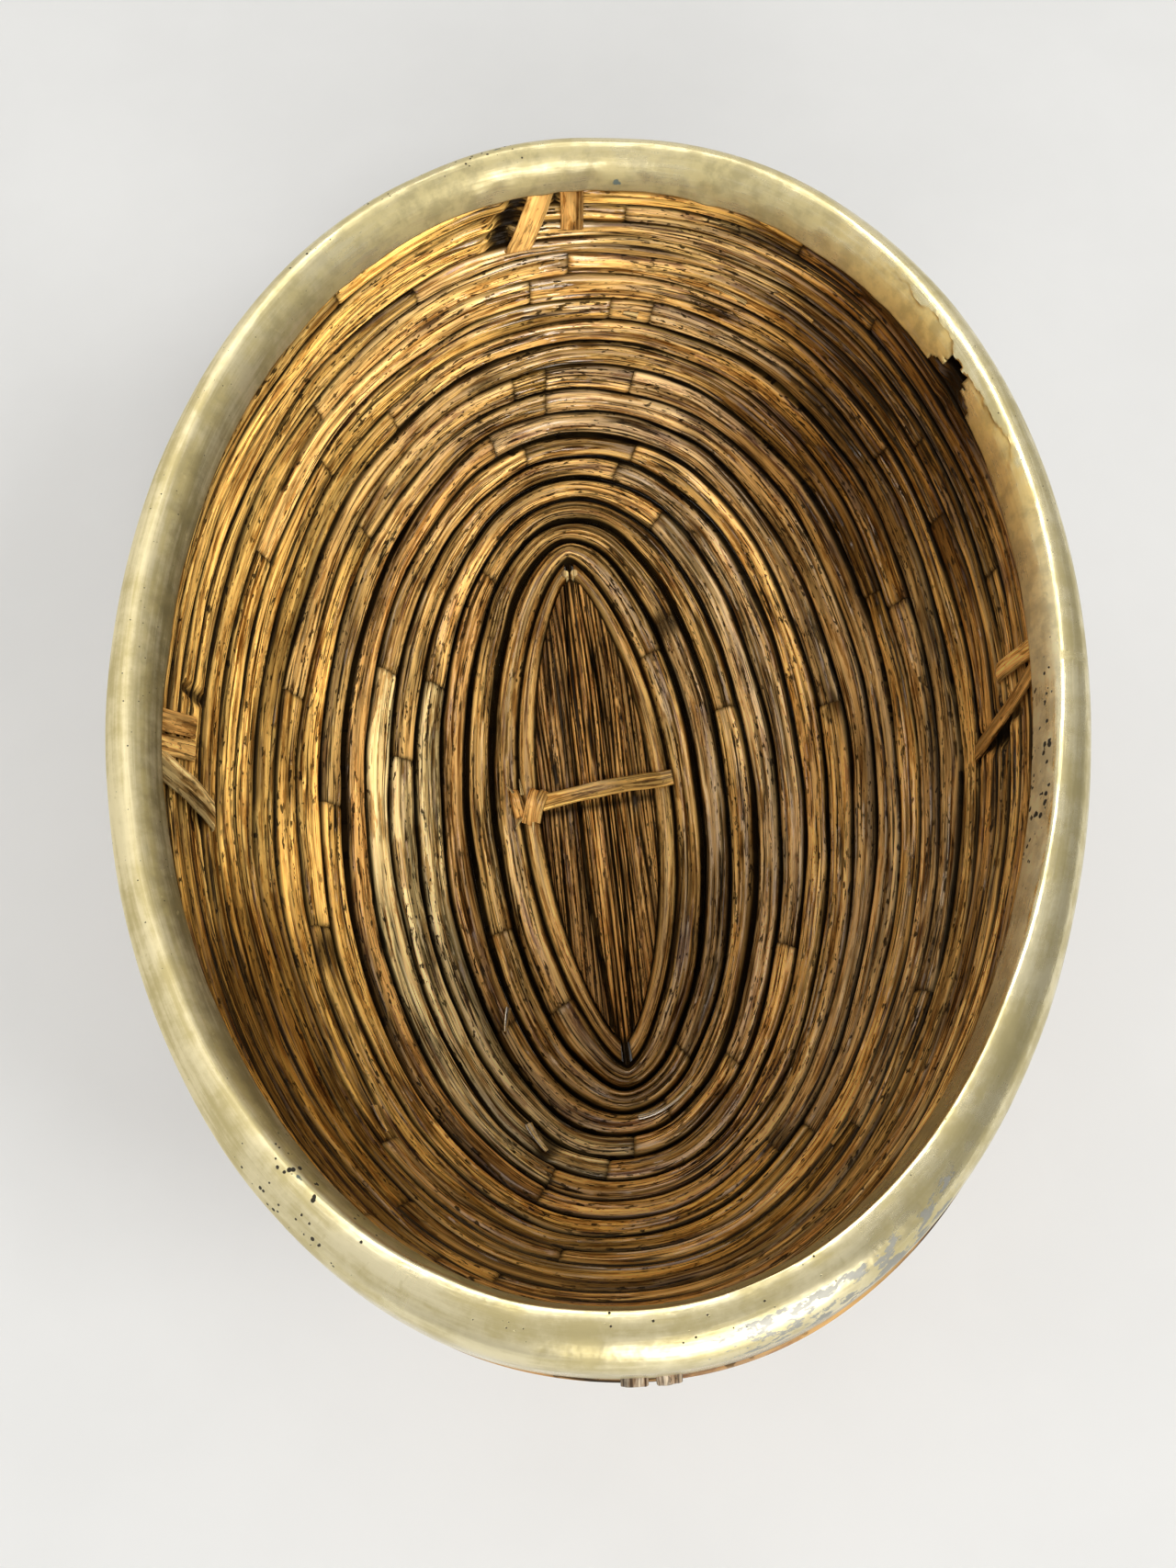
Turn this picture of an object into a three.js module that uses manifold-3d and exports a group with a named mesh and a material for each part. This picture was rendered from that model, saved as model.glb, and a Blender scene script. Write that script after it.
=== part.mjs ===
// Oval basket coiled from flattened rush cane, with a folded brass rim.
// Millimetres, +Z up. The basket stands on its floor at z = 0, long axis along Y.
import * as THREE from 'three';
import Module from 'manifold-3d';

// Bowl, measured on the middle of the cane wall
const MOUTH_LENGTH = 352;
const MOUTH_WIDTH = 260;
const WALL_RISE = 136;
const SIDE_SWEEP = THREE.MathUtils.degToRad(95);
const END_SWEEP = THREE.MathUtils.degToRad(106);
const MOUTH_ROUNDNESS = 0.47;
const LENS_FADE = 10;
const SKEW_FADE = 1.5;
const MOUTH_EGG = 0.03;
const MOUTH_SWAY = 5;

// Pointed centre of the floor
const LENS_LENGTH = 210;
const LENS_WIDTH = 60;
const LENS_SKEW = THREE.MathUtils.degToRad(8);
const REED_WIDTH = 7;
const REED_TIP_INSET = 8;
const REED_STOP_STEP = 8;
const MIDDLE_SPLINT_WIDTH = 13;
const SPLINT_THICKNESS = 5.4;

// Cane courses
const LOWER_COURSES = 14;
const UPPER_COURSES = 5;
const UPPER_WIDTH_RATIO = 0.75;
const CANE_THICKNESS = 6;
const CANE_ROUNDING = 1.6;
const CROWN_INSET = 0.28;
const SEAM = 0.5;
const JOINT_GAP = 0.4;
const JOINT_STEPS = [3, 22, 12, 18, 27, 11, 1, 10, 8, 21, 26, 8, 31, 14, 4, 24, 33, 13, 20];

// Rim under the brass, in the wall's own section: out is away from the bowl, rise is above its edge
const CLEARANCE = 0.3;
const HOOP_WIDTH = 8.5;
const HOOP_HEIGHT = 5;
const OUTER_CANE_THICKNESS = 2.6;
const OUTER_CANE_HEIGHT = 8;
const OUTER_CANE_DROP = 12;
const HOOP_JOINT_STEP = 6;
const OUTER_CANE_JOINT_STEP = 15;

// Brass rim
const BRASS_THICKNESS = 1;
const FLANGE_DROP = 8;
const SKIRT_DROP = 14;

// Lashings: places in facets round from the right-hand side, depths in courses below the rim
const LASH_WIDTH = 6.5;
const LASH_THICKNESS = 1;
const SLOT_MARGIN = 0.45;
const STRAIGHT_SLOT_COURSES = 3;
const SLANTED_SLOT_COURSES = 4;
const LASHINGS = [
  { side: 'far', straight: 9.5, slantTop: 10.16, slantFoot: 10.5 },
  { side: 'left', straight: 18.7, slantTop: 19.14, slantFoot: 19.4 },
  { side: 'near', straight: 27.3, slantTop: 27.62, slantFoot: 27.82 },
  { side: 'right', straight: 0.24, slantTop: 35.84, slantFoot: 35.5 },
];

// Tie across the centre
const TIE_WIDTH = 5;
const TIE_THICKNESS = 1;
const TIE_ARCH = 3.5;
const TIE_LEAN = THREE.MathUtils.degToRad(12);
const TIE_OVERHANG = 1;
const KNOT_LENGTH = 15;
const KNOT_WIDTH = 11;
const KNOT_HEIGHT = 5;
const KNOT_TAPER = 0.6;
const KNOT_RIDGE = 0.4;

// Fineness of the facets
const STEPS = 36;
const ARC_SAMPLES = 400;
const CREST_POINTS = 6;
const HOOP_POINTS = 6;
const OUTER_CANE_POINTS = 6;
const SPLINT_POINTS = 12;
const TIE_STATIONS = 11;
const MITRE_LIMIT = 0.5;
const PROBE_LENGTH = 0.5;
const PROBE_ANGLE = 0.01;

// Worked out from the driving dimensions
const TURN = 2 * Math.PI;
const HALF_CANE = CANE_THICKNESS / 2;
const SIDE_REACH = (MOUTH_WIDTH - LENS_WIDTH) / 2 / Math.sin(SIDE_SWEEP);
const END_REACH = (MOUTH_LENGTH - LENS_LENGTH) / 2 / Math.sin(END_SWEEP);
const RISE_RADIUS = WALL_RISE / (1 - Math.cos(SIDE_SWEEP));
const WALL_ARCS = sideArcs();
const WALL_ARC = WALL_ARCS[ARC_SAMPLES];
const COURSES = LOWER_COURSES + UPPER_COURSES;
const COURSE_WIDTH = WALL_ARC / (LOWER_COURSES + UPPER_COURSES * UPPER_WIDTH_RATIO);
const LASH_OFFSET = CLEARANCE + LASH_THICKNESS / 2;
const HOOP_CENTRE = HOOP_WIDTH / 2 - HALF_CANE;
const CREST_GAP = LASH_OFFSET + LASH_THICKNESS / 2 + CLEARANCE + BRASS_THICKNESS / 2;
const CREST_RADIUS = HOOP_WIDTH / 2 + CREST_GAP;
const CREST_RISE = CLEARANCE + HOOP_HEIGHT + CREST_GAP - CREST_RADIUS;
const OUTER_CANE_OUT = HALF_CANE + CLEARANCE + OUTER_CANE_THICKNESS / 2;
const SKIRT_TOP = HOOP_CENTRE + CREST_RADIUS - BRASS_THICKNESS / 2;
const LASH_FACE = OUTER_CANE_OUT + OUTER_CANE_THICKNESS / 2 + CLEARANCE + LASH_THICKNESS;
const SKIRT_CLEAR = LASH_FACE + CLEARANCE;
const SKIRT_FLARE = Math.atan(Math.max(0, SKIRT_CLEAR - SKIRT_TOP) / (CREST_RISE + OUTER_CANE_DROP));
const STRAIGHT_SLOT_COURSE = COURSES - STRAIGHT_SLOT_COURSES;
const SLANTED_SLOT_COURSE = COURSES - SLANTED_SLOT_COURSES;
const REED_CROWN = (LENS_WIDTH - REED_WIDTH) / 2;
const REED_REST = SPLINT_THICKNESS + CLEARANCE;
const COURSE_REST = Math.max(SPLINT_THICKNESS, CANE_THICKNESS) + CLEARANCE;
const TIE_LEFT = REED_CROWN - KNOT_WIDTH / 2;
const TIE_RIGHT = LENS_WIDTH / 2 + TIE_OVERHANG;

const wasm = await Module();
wasm.setup();

// Length along the side wall from the centre's edge, at even steps of its sweep
function sideArcs() {
  const arcs = [0];
  const onSide = (sweep) => {
    return new THREE.Vector2(SIDE_REACH * Math.sin(sweep), -RISE_RADIUS * Math.cos(sweep));
  };
  for (let i = 1; i <= ARC_SAMPLES; i += 1) {
    const from = onSide(((i - 1) / ARC_SAMPLES) * SIDE_SWEEP);
    const to = onSide((i / ARC_SAMPLES) * SIDE_SWEEP);
    arcs.push(arcs[i - 1] + from.distanceTo(to));
  }
  return arcs;
}

function sweepAt(arc) {
  const next = Math.max(1, WALL_ARCS.findIndex((length) => length >= arc));
  const share = (arc - WALL_ARCS[next - 1]) / (WALL_ARCS[next] - WALL_ARCS[next - 1]);
  return ((next - 1 + share) / ARC_SAMPLES) * SIDE_SWEEP;
}

// A point on the middle of the wall: pointed at the centre's edge, a hand-bent oval at the mouth
function wallPoint(arc, angle) {
  const left = 1 - arc / WALL_ARC;
  const sweep = sweepAt(arc);
  const halfWidth = LENS_WIDTH / 2 + SIDE_REACH * Math.sin(sweep);
  const halfLength = LENS_LENGTH / 2 + END_REACH * Math.sin((sweep * END_SWEEP) / SIDE_SWEEP);
  const roundness = MOUTH_ROUNDNESS + (1 - MOUTH_ROUNDNESS) * left ** LENS_FADE;
  const across = Math.cos(angle);
  const egg = 1 + MOUTH_EGG * (1 - left) * Math.sin(angle);
  const sway = MOUTH_SWAY * (1 - left) * Math.min(0, Math.sin(angle)) ** 2;
  const x = halfWidth * egg * Math.sign(across) * Math.abs(across) ** (2 * roundness) + sway;
  const y = halfLength * Math.sin(angle);
  const point = new THREE.Vector3(x, y, HALF_CANE + RISE_RADIUS * (1 - Math.cos(sweep)));
  return point.applyAxisAngle(new THREE.Vector3(0, 0, 1), LENS_SKEW * left ** SKEW_FADE);
}

// A point of the wall's section on one facet edge, out from the wall's middle
function placeOnStep(arc, out, step) {
  const angle = (step / STEPS) * TURN;
  const onWall = THREE.MathUtils.clamp(arc, 0, WALL_ARC);
  const above = wallPoint(Math.min(onWall + PROBE_LENGTH, WALL_ARC), angle);
  const up = above.sub(wallPoint(Math.max(onWall - PROBE_LENGTH, 0), angle)).normalize();
  const along = wallPoint(onWall, angle + PROBE_ANGLE).sub(wallPoint(onWall, angle - PROBE_ANGLE));
  const outward = along.cross(up).normalize();
  return wallPoint(onWall, angle).addScaledVector(outward, out).addScaledVector(up, arc - onWall);
}

// The same between two facet edges, so that every piece follows the same facets
function place(arc, out, turn) {
  const step = Math.floor(turn);
  return placeOnStep(arc, out, step).lerp(placeOnStep(arc, out, step + 1), turn - step);
}

function signedVolume(points, index) {
  let volume = 0;
  for (let i = 0; i < index.length; i += 3) {
    const [a, b, c] = [points[index[i]], points[index[i + 1]], points[index[i + 2]]];
    volume += a.dot(new THREE.Vector3().crossVectors(b, c)) / 6;
  }
  return volume;
}

// A closed body through equal sections, ringed shut or capped at both ends
function loft(sections, ringed) {
  const size = sections[0].length;
  const points = sections.flat();
  const index = [];
  const spans = ringed ? sections.length : sections.length - 1;
  for (let i = 0; i < spans; i += 1) {
    const here = i * size;
    const next = ((i + 1) % sections.length) * size;
    for (let j = 0; j < size; j += 1) {
      const k = (j + 1) % size;
      index.push(here + j, here + k, next + k, here + j, next + k, next + j);
    }
  }
  if (!ringed) {
    const last = (sections.length - 1) * size;
    for (let j = 1; j < size - 1; j += 1) {
      index.push(0, j + 1, j, last, last + j, last + j + 1);
    }
  }
  if (signedVolume(points, index) < 0) {
    index.reverse();
  }
  const geometry = new THREE.BufferGeometry().setFromPoints(points);
  geometry.setIndex(index);
  return geometry;
}

function toSolid(geometry) {
  const vertProperties = new Float32Array(geometry.attributes.position.array);
  const triVerts = new Uint32Array(geometry.index.array);
  return new wasm.Manifold(new wasm.Mesh({ numProp: 3, vertProperties, triVerts }));
}

function toGeometry(solid) {
  const mesh = solid.getMesh();
  const geometry = new THREE.BufferGeometry();
  geometry.setAttribute('position', new THREE.BufferAttribute(new Float32Array(mesh.vertProperties), 3));
  geometry.setIndex(new THREE.BufferAttribute(new Uint32Array(mesh.triVerts), 1));
  return geometry;
}

// A strip bent once round the bowl, its two ends meeting in a butt joint on a facet edge
function bentStrip(section, jointStep) {
  const at = (turn) => section.map(([arc, out]) => place(arc, out, turn));
  const facet = place(section[0][0], 0, jointStep).distanceTo(place(section[0][0], 0, jointStep + 1));
  const half = JOINT_GAP / 2 / facet;
  const turns = [jointStep + half];
  for (let step = 1; step < STEPS; step += 1) {
    turns.push(jointStep + step);
  }
  turns.push(jointStep + STEPS - half);
  return loft(turns.map(at), false);
}

function courseTop(course) {
  const lower = Math.min(course, LOWER_COURSES);
  return COURSE_WIDTH * (lower + (course - lower) * UPPER_WIDTH_RATIO);
}

// Flat outside, rounded on the inside of the bowl
function courseSection(course) {
  const low = courseTop(course - 1) + SEAM / 2;
  const high = courseTop(course) - SEAM / 2;
  const inset = (high - low) * CROWN_INSET;
  const edge = CANE_ROUNDING - HALF_CANE;
  return [
    [low, HALF_CANE],
    [high, HALF_CANE],
    [high, edge],
    [high - inset, -HALF_CANE],
    [low + inset, -HALF_CANE],
    [low, edge],
  ];
}

// Points of an arc in the wall's section, from one angle to another
function sectionArc(out, rise, radiusOut, radiusRise, from, to, count) {
  const points = [];
  for (let i = 0; i <= count; i += 1) {
    const angle = from + ((to - from) * i) / count;
    points.push([rise + radiusRise * Math.sin(angle), out + radiusOut * Math.cos(angle)]);
  }
  return points;
}

const onRim = (section) => section.map(([rise, out]) => [WALL_ARC + rise, out]);

function hoopSection() {
  return onRim(sectionArc(HOOP_CENTRE, CLEARANCE, HOOP_WIDTH / 2, HOOP_HEIGHT, Math.PI, 0, HOOP_POINTS));
}

function outerCaneSection() {
  const radiusOut = OUTER_CANE_THICKNESS / 2;
  const radiusRise = OUTER_CANE_HEIGHT / 2;
  const round = sectionArc(
    OUTER_CANE_OUT, -OUTER_CANE_DROP, radiusOut, radiusRise, 0, TURN, OUTER_CANE_POINTS);
  return onRim(round.slice(1));
}

// Folded sheet: up the inner flange, over the crest and down the flared skirt
function brassSection() {
  const half = BRASS_THICKNESS / 2;
  const skirtEnd = (radius) => {
    const fall = CREST_RISE + radius * Math.sin(SKIRT_FLARE) + SKIRT_DROP;
    return [-SKIRT_DROP, HOOP_CENTRE + radius * Math.cos(SKIRT_FLARE) + fall * Math.tan(SKIRT_FLARE)];
  };
  const face = (radius) => [
    [-FLANGE_DROP, HOOP_CENTRE - radius],
    ...sectionArc(HOOP_CENTRE, CREST_RISE, radius, radius, Math.PI, SKIRT_FLARE, CREST_POINTS),
    skirtEnd(radius),
  ];
  return onRim([...face(CREST_RADIUS + half), ...face(CREST_RADIUS - half).reverse()]);
}

function brassRim() {
  const section = brassSection();
  const sections = [];
  for (let step = 0; step < STEPS; step += 1) {
    sections.push(section.map(([arc, out]) => place(arc, out, step)));
  }
  return loft(sections, true);
}

// The loop of one lashing, as the corners of its middle line
function lashingPath(slotRise, top, foot) {
  const inner = -(HALF_CANE + LASH_OFFSET);
  const outer = HALF_CANE + LASH_OFFSET;
  const overHoop = HOOP_WIDTH / 2 + LASH_OFFSET;
  const caneOut = OUTER_CANE_THICKNESS / 2 + LASH_OFFSET;
  const caneRise = OUTER_CANE_HEIGHT / 2 + LASH_OFFSET;
  const over = sectionArc(
    HOOP_CENTRE, CLEARANCE, overHoop, HOOP_HEIGHT + LASH_OFFSET, Math.PI, 0, HOOP_POINTS);
  const under = sectionArc(
    OUTER_CANE_OUT, -OUTER_CANE_DROP, caneOut, caneRise, 0, -Math.PI / 2, 2);
  const underCane = -OUTER_CANE_DROP - caneRise;
  const corners = [
    [slotRise, inner, foot],
    [-FLANGE_DROP, inner, top],
    ...over.map(([rise, out]) => [rise, out, top]),
    ...under.map(([rise, out]) => [rise, out, top]),
    [underCane - LASH_OFFSET, outer, top],
    [slotRise, outer, foot],
  ];
  return corners.map(([rise, out, turn]) => ({ rise, out, turn }));
}

// Moves each corner of a closed path sideways, square to its two neighbouring runs
function offsetPath(path, distance) {
  return path.map((corner, i) => {
    const before = path[(i + path.length - 1) % path.length];
    const after = path[(i + 1) % path.length];
    const into = new THREE.Vector2(corner.out - before.out, corner.rise - before.rise).normalize();
    const away = new THREE.Vector2(after.out - corner.out, after.rise - corner.rise).normalize();
    const middle = into.clone().add(away).normalize();
    const reach = distance / Math.max(middle.dot(into), MITRE_LIMIT);
    return { ...corner, out: corner.out - middle.y * reach, rise: corner.rise + middle.x * reach };
  });
}

function facetLength(step) {
  return place(WALL_ARC, 0, step).distanceTo(place(WALL_ARC, 0, step + 1));
}

function lashingLoop(slotRise, top, foot) {
  const path = lashingPath(slotRise, top, foot);
  const outside = offsetPath(path, LASH_THICKNESS / 2);
  const inside = offsetPath(path, -LASH_THICKNESS / 2);
  const half = LASH_WIDTH / 2 / facetLength(Math.floor(top));
  const corner = (point, shift) => place(WALL_ARC + point.rise, point.out, point.turn + shift);
  const sections = path.map((_, i) => [
    corner(inside[i], -half),
    corner(inside[i], half),
    corner(outside[i], half),
    corner(outside[i], -half),
  ]);
  return loft(sections, true);
}

// The hole that a loop goes through, cut from the two courses it passes between
function slotCutter(course, turn) {
  const half = (LASH_WIDTH / 2 + SLOT_MARGIN) / facetLength(Math.floor(turn));
  const middle = courseTop(course);
  const reach = LASH_THICKNESS / 2 + SLOT_MARGIN;
  const depth = CANE_THICKNESS;
  const face = (out) => [
    place(middle - reach, out, turn - half),
    place(middle - reach, out, turn + half),
    place(middle + reach, out, turn + half),
    place(middle + reach, out, turn - half),
  ];
  return loft([face(-depth), face(depth)], false);
}

function cutSlots(geometry, course) {
  let solid = toSolid(geometry);
  for (const lashing of LASHINGS) {
    const slots = [
      [STRAIGHT_SLOT_COURSE, lashing.straight],
      [SLANTED_SLOT_COURSE, lashing.slantFoot],
    ];
    for (const [slotCourse, turn] of slots) {
      if (course === slotCourse || course === slotCourse + 1) {
        solid = solid.subtract(toSolid(slotCutter(slotCourse, turn)));
      }
    }
  }
  return toGeometry(solid);
}

function courseStrip(course) {
  const strip = bentStrip(courseSection(course), JOINT_STEPS[(course - 1) % JOINT_STEPS.length]);
  const nearSlot = course >= SLANTED_SLOT_COURSE && course <= STRAIGHT_SLOT_COURSE + 1;
  return nearSlot ? cutSlots(strip, course) : strip;
}

// Pointed outline of the centre, drawn in by a border and at its tips
function lensPoint(border, tipInset, angle) {
  const across = Math.cos(angle);
  return new THREE.Vector2(
    (LENS_WIDTH / 2 - border) * across * Math.abs(across),
    (LENS_LENGTH / 2 - tipInset) * Math.sin(angle),
  );
}

// A pale reed along one edge of the centre, from tip to tip
function edgeReed(side) {
  const sections = [];
  for (let step = -REED_STOP_STEP; step <= REED_STOP_STEP; step += 1) {
    const angle = (step / STEPS) * TURN;
    const rim = lensPoint(SEAM / 2, SEAM / 2, angle);
    const bore = lensPoint(REED_WIDTH, REED_TIP_INSET, angle);
    const crown = rim.clone().add(bore).divideScalar(2);
    sections.push([
      new THREE.Vector3(side * bore.x, bore.y, 0),
      new THREE.Vector3(side * rim.x, rim.y, 0),
      new THREE.Vector3(side * rim.x, rim.y, SPLINT_THICKNESS - CANE_ROUNDING),
      new THREE.Vector3(side * crown.x, crown.y, SPLINT_THICKNESS),
      new THREE.Vector3(side * bore.x, bore.y, SPLINT_THICKNESS - CANE_ROUNDING),
    ]);
  }
  return loft(sections, false);
}

function splint(outline) {
  const shape = new THREE.Shape(outline);
  return new THREE.ExtrudeGeometry(shape, { depth: SPLINT_THICKNESS, bevelEnabled: false });
}

// Outline of the space inside the reeds, between two angles
function splintEdge(from, to) {
  const points = [];
  for (let i = 0; i <= SPLINT_POINTS; i += 1) {
    const angle = from + ((to - from) * i) / SPLINT_POINTS;
    points.push(lensPoint(REED_WIDTH + SEAM, REED_TIP_INSET + SEAM, angle));
  }
  return points;
}

function splintAngle(halfWidth) {
  return Math.acos(Math.sqrt(halfWidth / (LENS_WIDTH / 2 - REED_WIDTH - SEAM)));
}

function middleSplint() {
  const angle = splintAngle(MIDDLE_SPLINT_WIDTH / 2);
  const far = splintEdge(angle, Math.PI - angle);
  const near = splintEdge(Math.PI + angle, TURN - angle);
  return splint([...far, ...near]);
}

function sideSplint(side) {
  const angle = splintAngle(MIDDLE_SPLINT_WIDTH / 2 + SEAM);
  const outline = splintEdge(-angle, angle).map((point) => new THREE.Vector2(side * point.x, point.y));
  return splint(side > 0 ? outline : outline.reverse());
}

// Underside of the tie: arched between the crowns of the reeds, then up on to the first course
function tieRest(x) {
  if (x > REED_CROWN) {
    return REED_REST + ((x - REED_CROWN) / (TIE_RIGHT - REED_CROWN)) * (COURSE_REST - REED_REST);
  }
  const share = (x + REED_CROWN) / (2 * REED_CROWN);
  return REED_REST + TIE_ARCH * Math.sin(share * Math.PI);
}

function tieStrip() {
  const stations = [TIE_RIGHT];
  for (let i = TIE_STATIONS; i >= 0; i -= 1) {
    stations.push(-TIE_LEFT + (i / TIE_STATIONS) * (TIE_LEFT + REED_CROWN));
  }
  const sections = stations.map((x) => [
    new THREE.Vector3(x, -TIE_WIDTH / 2, tieRest(x)),
    new THREE.Vector3(x, TIE_WIDTH / 2, tieRest(x)),
    new THREE.Vector3(x, TIE_WIDTH / 2, tieRest(x) + TIE_THICKNESS),
    new THREE.Vector3(x, -TIE_WIDTH / 2, tieRest(x) + TIE_THICKNESS),
  ]);
  return loft(sections, false);
}

// The knot sits on the left reed at the tie's end, tapers both ways and laps on to the first course
function tieKnot() {
  const start = -TIE_LEFT - CLEARANCE;
  const section = (share, taper, rest) => {
    const x = start - share * KNOT_WIDTH;
    const half = (taper * KNOT_LENGTH) / 2;
    const top = rest + taper * KNOT_HEIGHT;
    return [
      new THREE.Vector3(x, -half, rest),
      new THREE.Vector3(x, half, rest),
      new THREE.Vector3(x, half * KNOT_TAPER, top),
      new THREE.Vector3(x, -half * KNOT_TAPER, top),
    ];
  };
  const sections = [
    section(0, KNOT_TAPER, REED_REST),
    section(KNOT_RIDGE, 1, REED_REST),
    section(1, KNOT_TAPER, COURSE_REST),
  ];
  return loft(sections, false);
}

const FINISH = {
  darkSplint: { color: 0x4a3018, roughness: 0.7, metalness: 0 },
  redSplint: { color: 0x6b4522, roughness: 0.7, metalness: 0 },
  greySplint: { color: 0x5c4630, roughness: 0.7, metalness: 0 },
  paleCane: { color: 0xa5824d, roughness: 0.5, metalness: 0 },
  goldenCane: { color: 0x8f6230, roughness: 0.45, metalness: 0 },
  brownCane: { color: 0x74502a, roughness: 0.5, metalness: 0 },
  lashing: { color: 0x9c7239, roughness: 0.55, metalness: 0 },
  brass: { color: 0xc9bc82, roughness: 0.3, metalness: 1 },
};

function piece(name, geometry, finish) {
  geometry.computeVertexNormals();
  const mesh = new THREE.Mesh(geometry, new THREE.MeshStandardMaterial(finish));
  mesh.name = name;
  return mesh;
}

const centre = new THREE.Group();
centre.rotation.z = LENS_SKEW;
centre.add(
  piece('centre_splint_left', sideSplint(-1), FINISH.darkSplint),
  piece('centre_splint_middle', middleSplint(), FINISH.redSplint),
  piece('centre_splint_right', sideSplint(1), FINISH.greySplint),
  piece('centre_reed_left', edgeReed(-1), FINISH.paleCane),
  piece('centre_reed_right', edgeReed(1), FINISH.paleCane),
);

const tie = new THREE.Group();
tie.rotation.z = TIE_LEAN;
tie.add(
  piece('centre_tie', tieStrip(), FINISH.lashing),
  piece('centre_tie_knot', tieKnot(), FINISH.lashing),
);

const wall = new THREE.Group();
for (let course = 1; course <= COURSES; course += 1) {
  const name = `rush_course_${String(course).padStart(2, '0')}`;
  wall.add(piece(name, courseStrip(course), course % 2 ? FINISH.goldenCane : FINISH.brownCane));
}

const rim = new THREE.Group();
rim.add(
  piece('rim_hoop', bentStrip(hoopSection(), HOOP_JOINT_STEP), FINISH.brownCane),
  piece('outer_rim_cane', bentStrip(outerCaneSection(), OUTER_CANE_JOINT_STEP), FINISH.brownCane),
  piece('brass_rim', brassRim(), FINISH.brass),
);
const straightRise = courseTop(STRAIGHT_SLOT_COURSE) - WALL_ARC;
const slantedRise = courseTop(SLANTED_SLOT_COURSE) - WALL_ARC;
for (const { side, straight, slantTop, slantFoot } of LASHINGS) {
  const straightLoop = lashingLoop(straightRise, straight, straight);
  const slantedLoop = lashingLoop(slantedRise, slantTop, slantFoot);
  rim.add(piece(`${side}_lashing_straight`, straightLoop, FINISH.lashing));
  rim.add(piece(`${side}_lashing_slanted`, slantedLoop, FINISH.lashing));
}

const basket = new THREE.Group();
basket.add(centre, tie, wall, rim);

export default basket;
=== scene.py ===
"""Dresses an oval rush basket: coiled cane courses, a splint centre, lashings and a folded brass rim."""

import logging
import math
from dataclasses import dataclass, field
from enum import Enum

import bmesh
import bpy
import numpy as np
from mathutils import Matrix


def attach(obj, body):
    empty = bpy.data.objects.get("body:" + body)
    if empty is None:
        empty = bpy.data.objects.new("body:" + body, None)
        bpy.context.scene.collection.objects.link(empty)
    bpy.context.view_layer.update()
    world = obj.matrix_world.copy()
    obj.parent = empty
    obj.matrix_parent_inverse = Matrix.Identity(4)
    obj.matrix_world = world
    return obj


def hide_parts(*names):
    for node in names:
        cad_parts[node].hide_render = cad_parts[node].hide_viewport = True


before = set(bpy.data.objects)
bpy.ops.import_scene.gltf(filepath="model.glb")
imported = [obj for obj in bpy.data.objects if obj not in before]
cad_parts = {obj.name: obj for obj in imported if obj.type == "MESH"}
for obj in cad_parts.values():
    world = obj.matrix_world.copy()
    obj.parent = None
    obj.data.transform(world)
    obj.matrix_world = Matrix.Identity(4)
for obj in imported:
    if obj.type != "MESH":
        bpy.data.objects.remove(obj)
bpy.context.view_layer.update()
LOG = logging.getLogger("rush_basket")
MM = 0.001
TURN = 2 * math.pi
Array = np.ndarray
Socket = bpy.types.NodeSocket
Colour = tuple[float, float, float]
Place = tuple[float, float, float]
Triple = tuple[float, float, float]
Span = tuple[float, float]
Fit = tuple[float, float, float, float]
Noise = tuple[float, ...]


class Tone(Enum):
    """Colours that the rush takes in this basket, in linear light."""

    STRAW = (0.9, 0.64, 0.26)
    GOLDEN = (1.0, 0.57, 0.14)
    TAN = (0.94, 0.55, 0.165)
    BROWN = (0.69, 0.37, 0.105)
    UMBER = (0.47, 0.25, 0.075)
    GREY = (0.77, 0.48, 0.185)
    RUST = (0.76, 0.4, 0.11)
    ASH = (0.3, 0.22, 0.14)


class Ripple:
    """Smooth seeded noise from -1 to 1, for hand-made unevenness."""

    SIZE = 128

    def __init__(self, seed: int) -> None:
        """Draws the table of values that a seed fixes."""
        self.table = np.random.default_rng(seed).uniform(-1, 1, (self.SIZE, self.SIZE))

    def at(self, along: Array, across: Array | float = 0.0) -> Array:
        """Reads the noise.

        Args:
            along: First place, one unit a bump.
            across: Second place, one unit a bump.

        Returns:
            Noise at each place.
        """
        along, across = np.broadcast_arrays(np.asarray(along, float), np.asarray(across, float))
        i, j = np.floor(along).astype(int), np.floor(across).astype(int)
        u, v = along - i, across - j
        u, v = u * u * (3 - 2 * u), v * v * (3 - 2 * v)
        size = self.SIZE
        low = self.table[i % size, j % size] * (1 - u) + self.table[(i + 1) % size, j % size] * u
        high = (self.table[i % size, (j + 1) % size] * (1 - u)
                + self.table[(i + 1) % size, (j + 1) % size] * u)
        return low * (1 - v) + high * v


@dataclass(frozen=True)
class Wave:
    """Unevenness along a strip: its size, the length of a bump and its own row of the noise."""

    size: float
    length: float
    row: float = 0.0

    def read(self, ripple: Ripple, along: Array) -> Array:
        """Reads the unevenness at lengths along the strip."""
        return self.size * ripple.at(along / self.length, self.row)


@dataclass(frozen=True)
class Grain:
    """Unevenness over a face: its size, the length of a bump each way and a shift of the noise."""

    size: float
    first: float
    second: float
    shift: float = 0.0

    def read(self, ripple: Ripple, first: Array, second: Array) -> Array:
        """Reads the unevenness at places on the face."""
        return self.size * ripple.at(first / self.first + self.shift, second / self.second)


def smooth_step(low: float, high: float, value: Array) -> Array:
    """Rises smoothly from 0 at low to 1 at high."""
    share = np.clip((value - low) / (high - low), 0, 1)
    return share * share * (3 - 2 * share)


def plateau(place: Array, reach: Array | float) -> Array:
    """Falls from a flat top of 1 to nothing past a reach on both sides."""
    return np.exp(-((place / reach) ** 4))


def hump(place: Array, reach: Array | float) -> Array:
    """Falls from a round top of 1 to nothing past a reach on both sides."""
    return np.exp(-((place / reach) ** 2))


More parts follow.
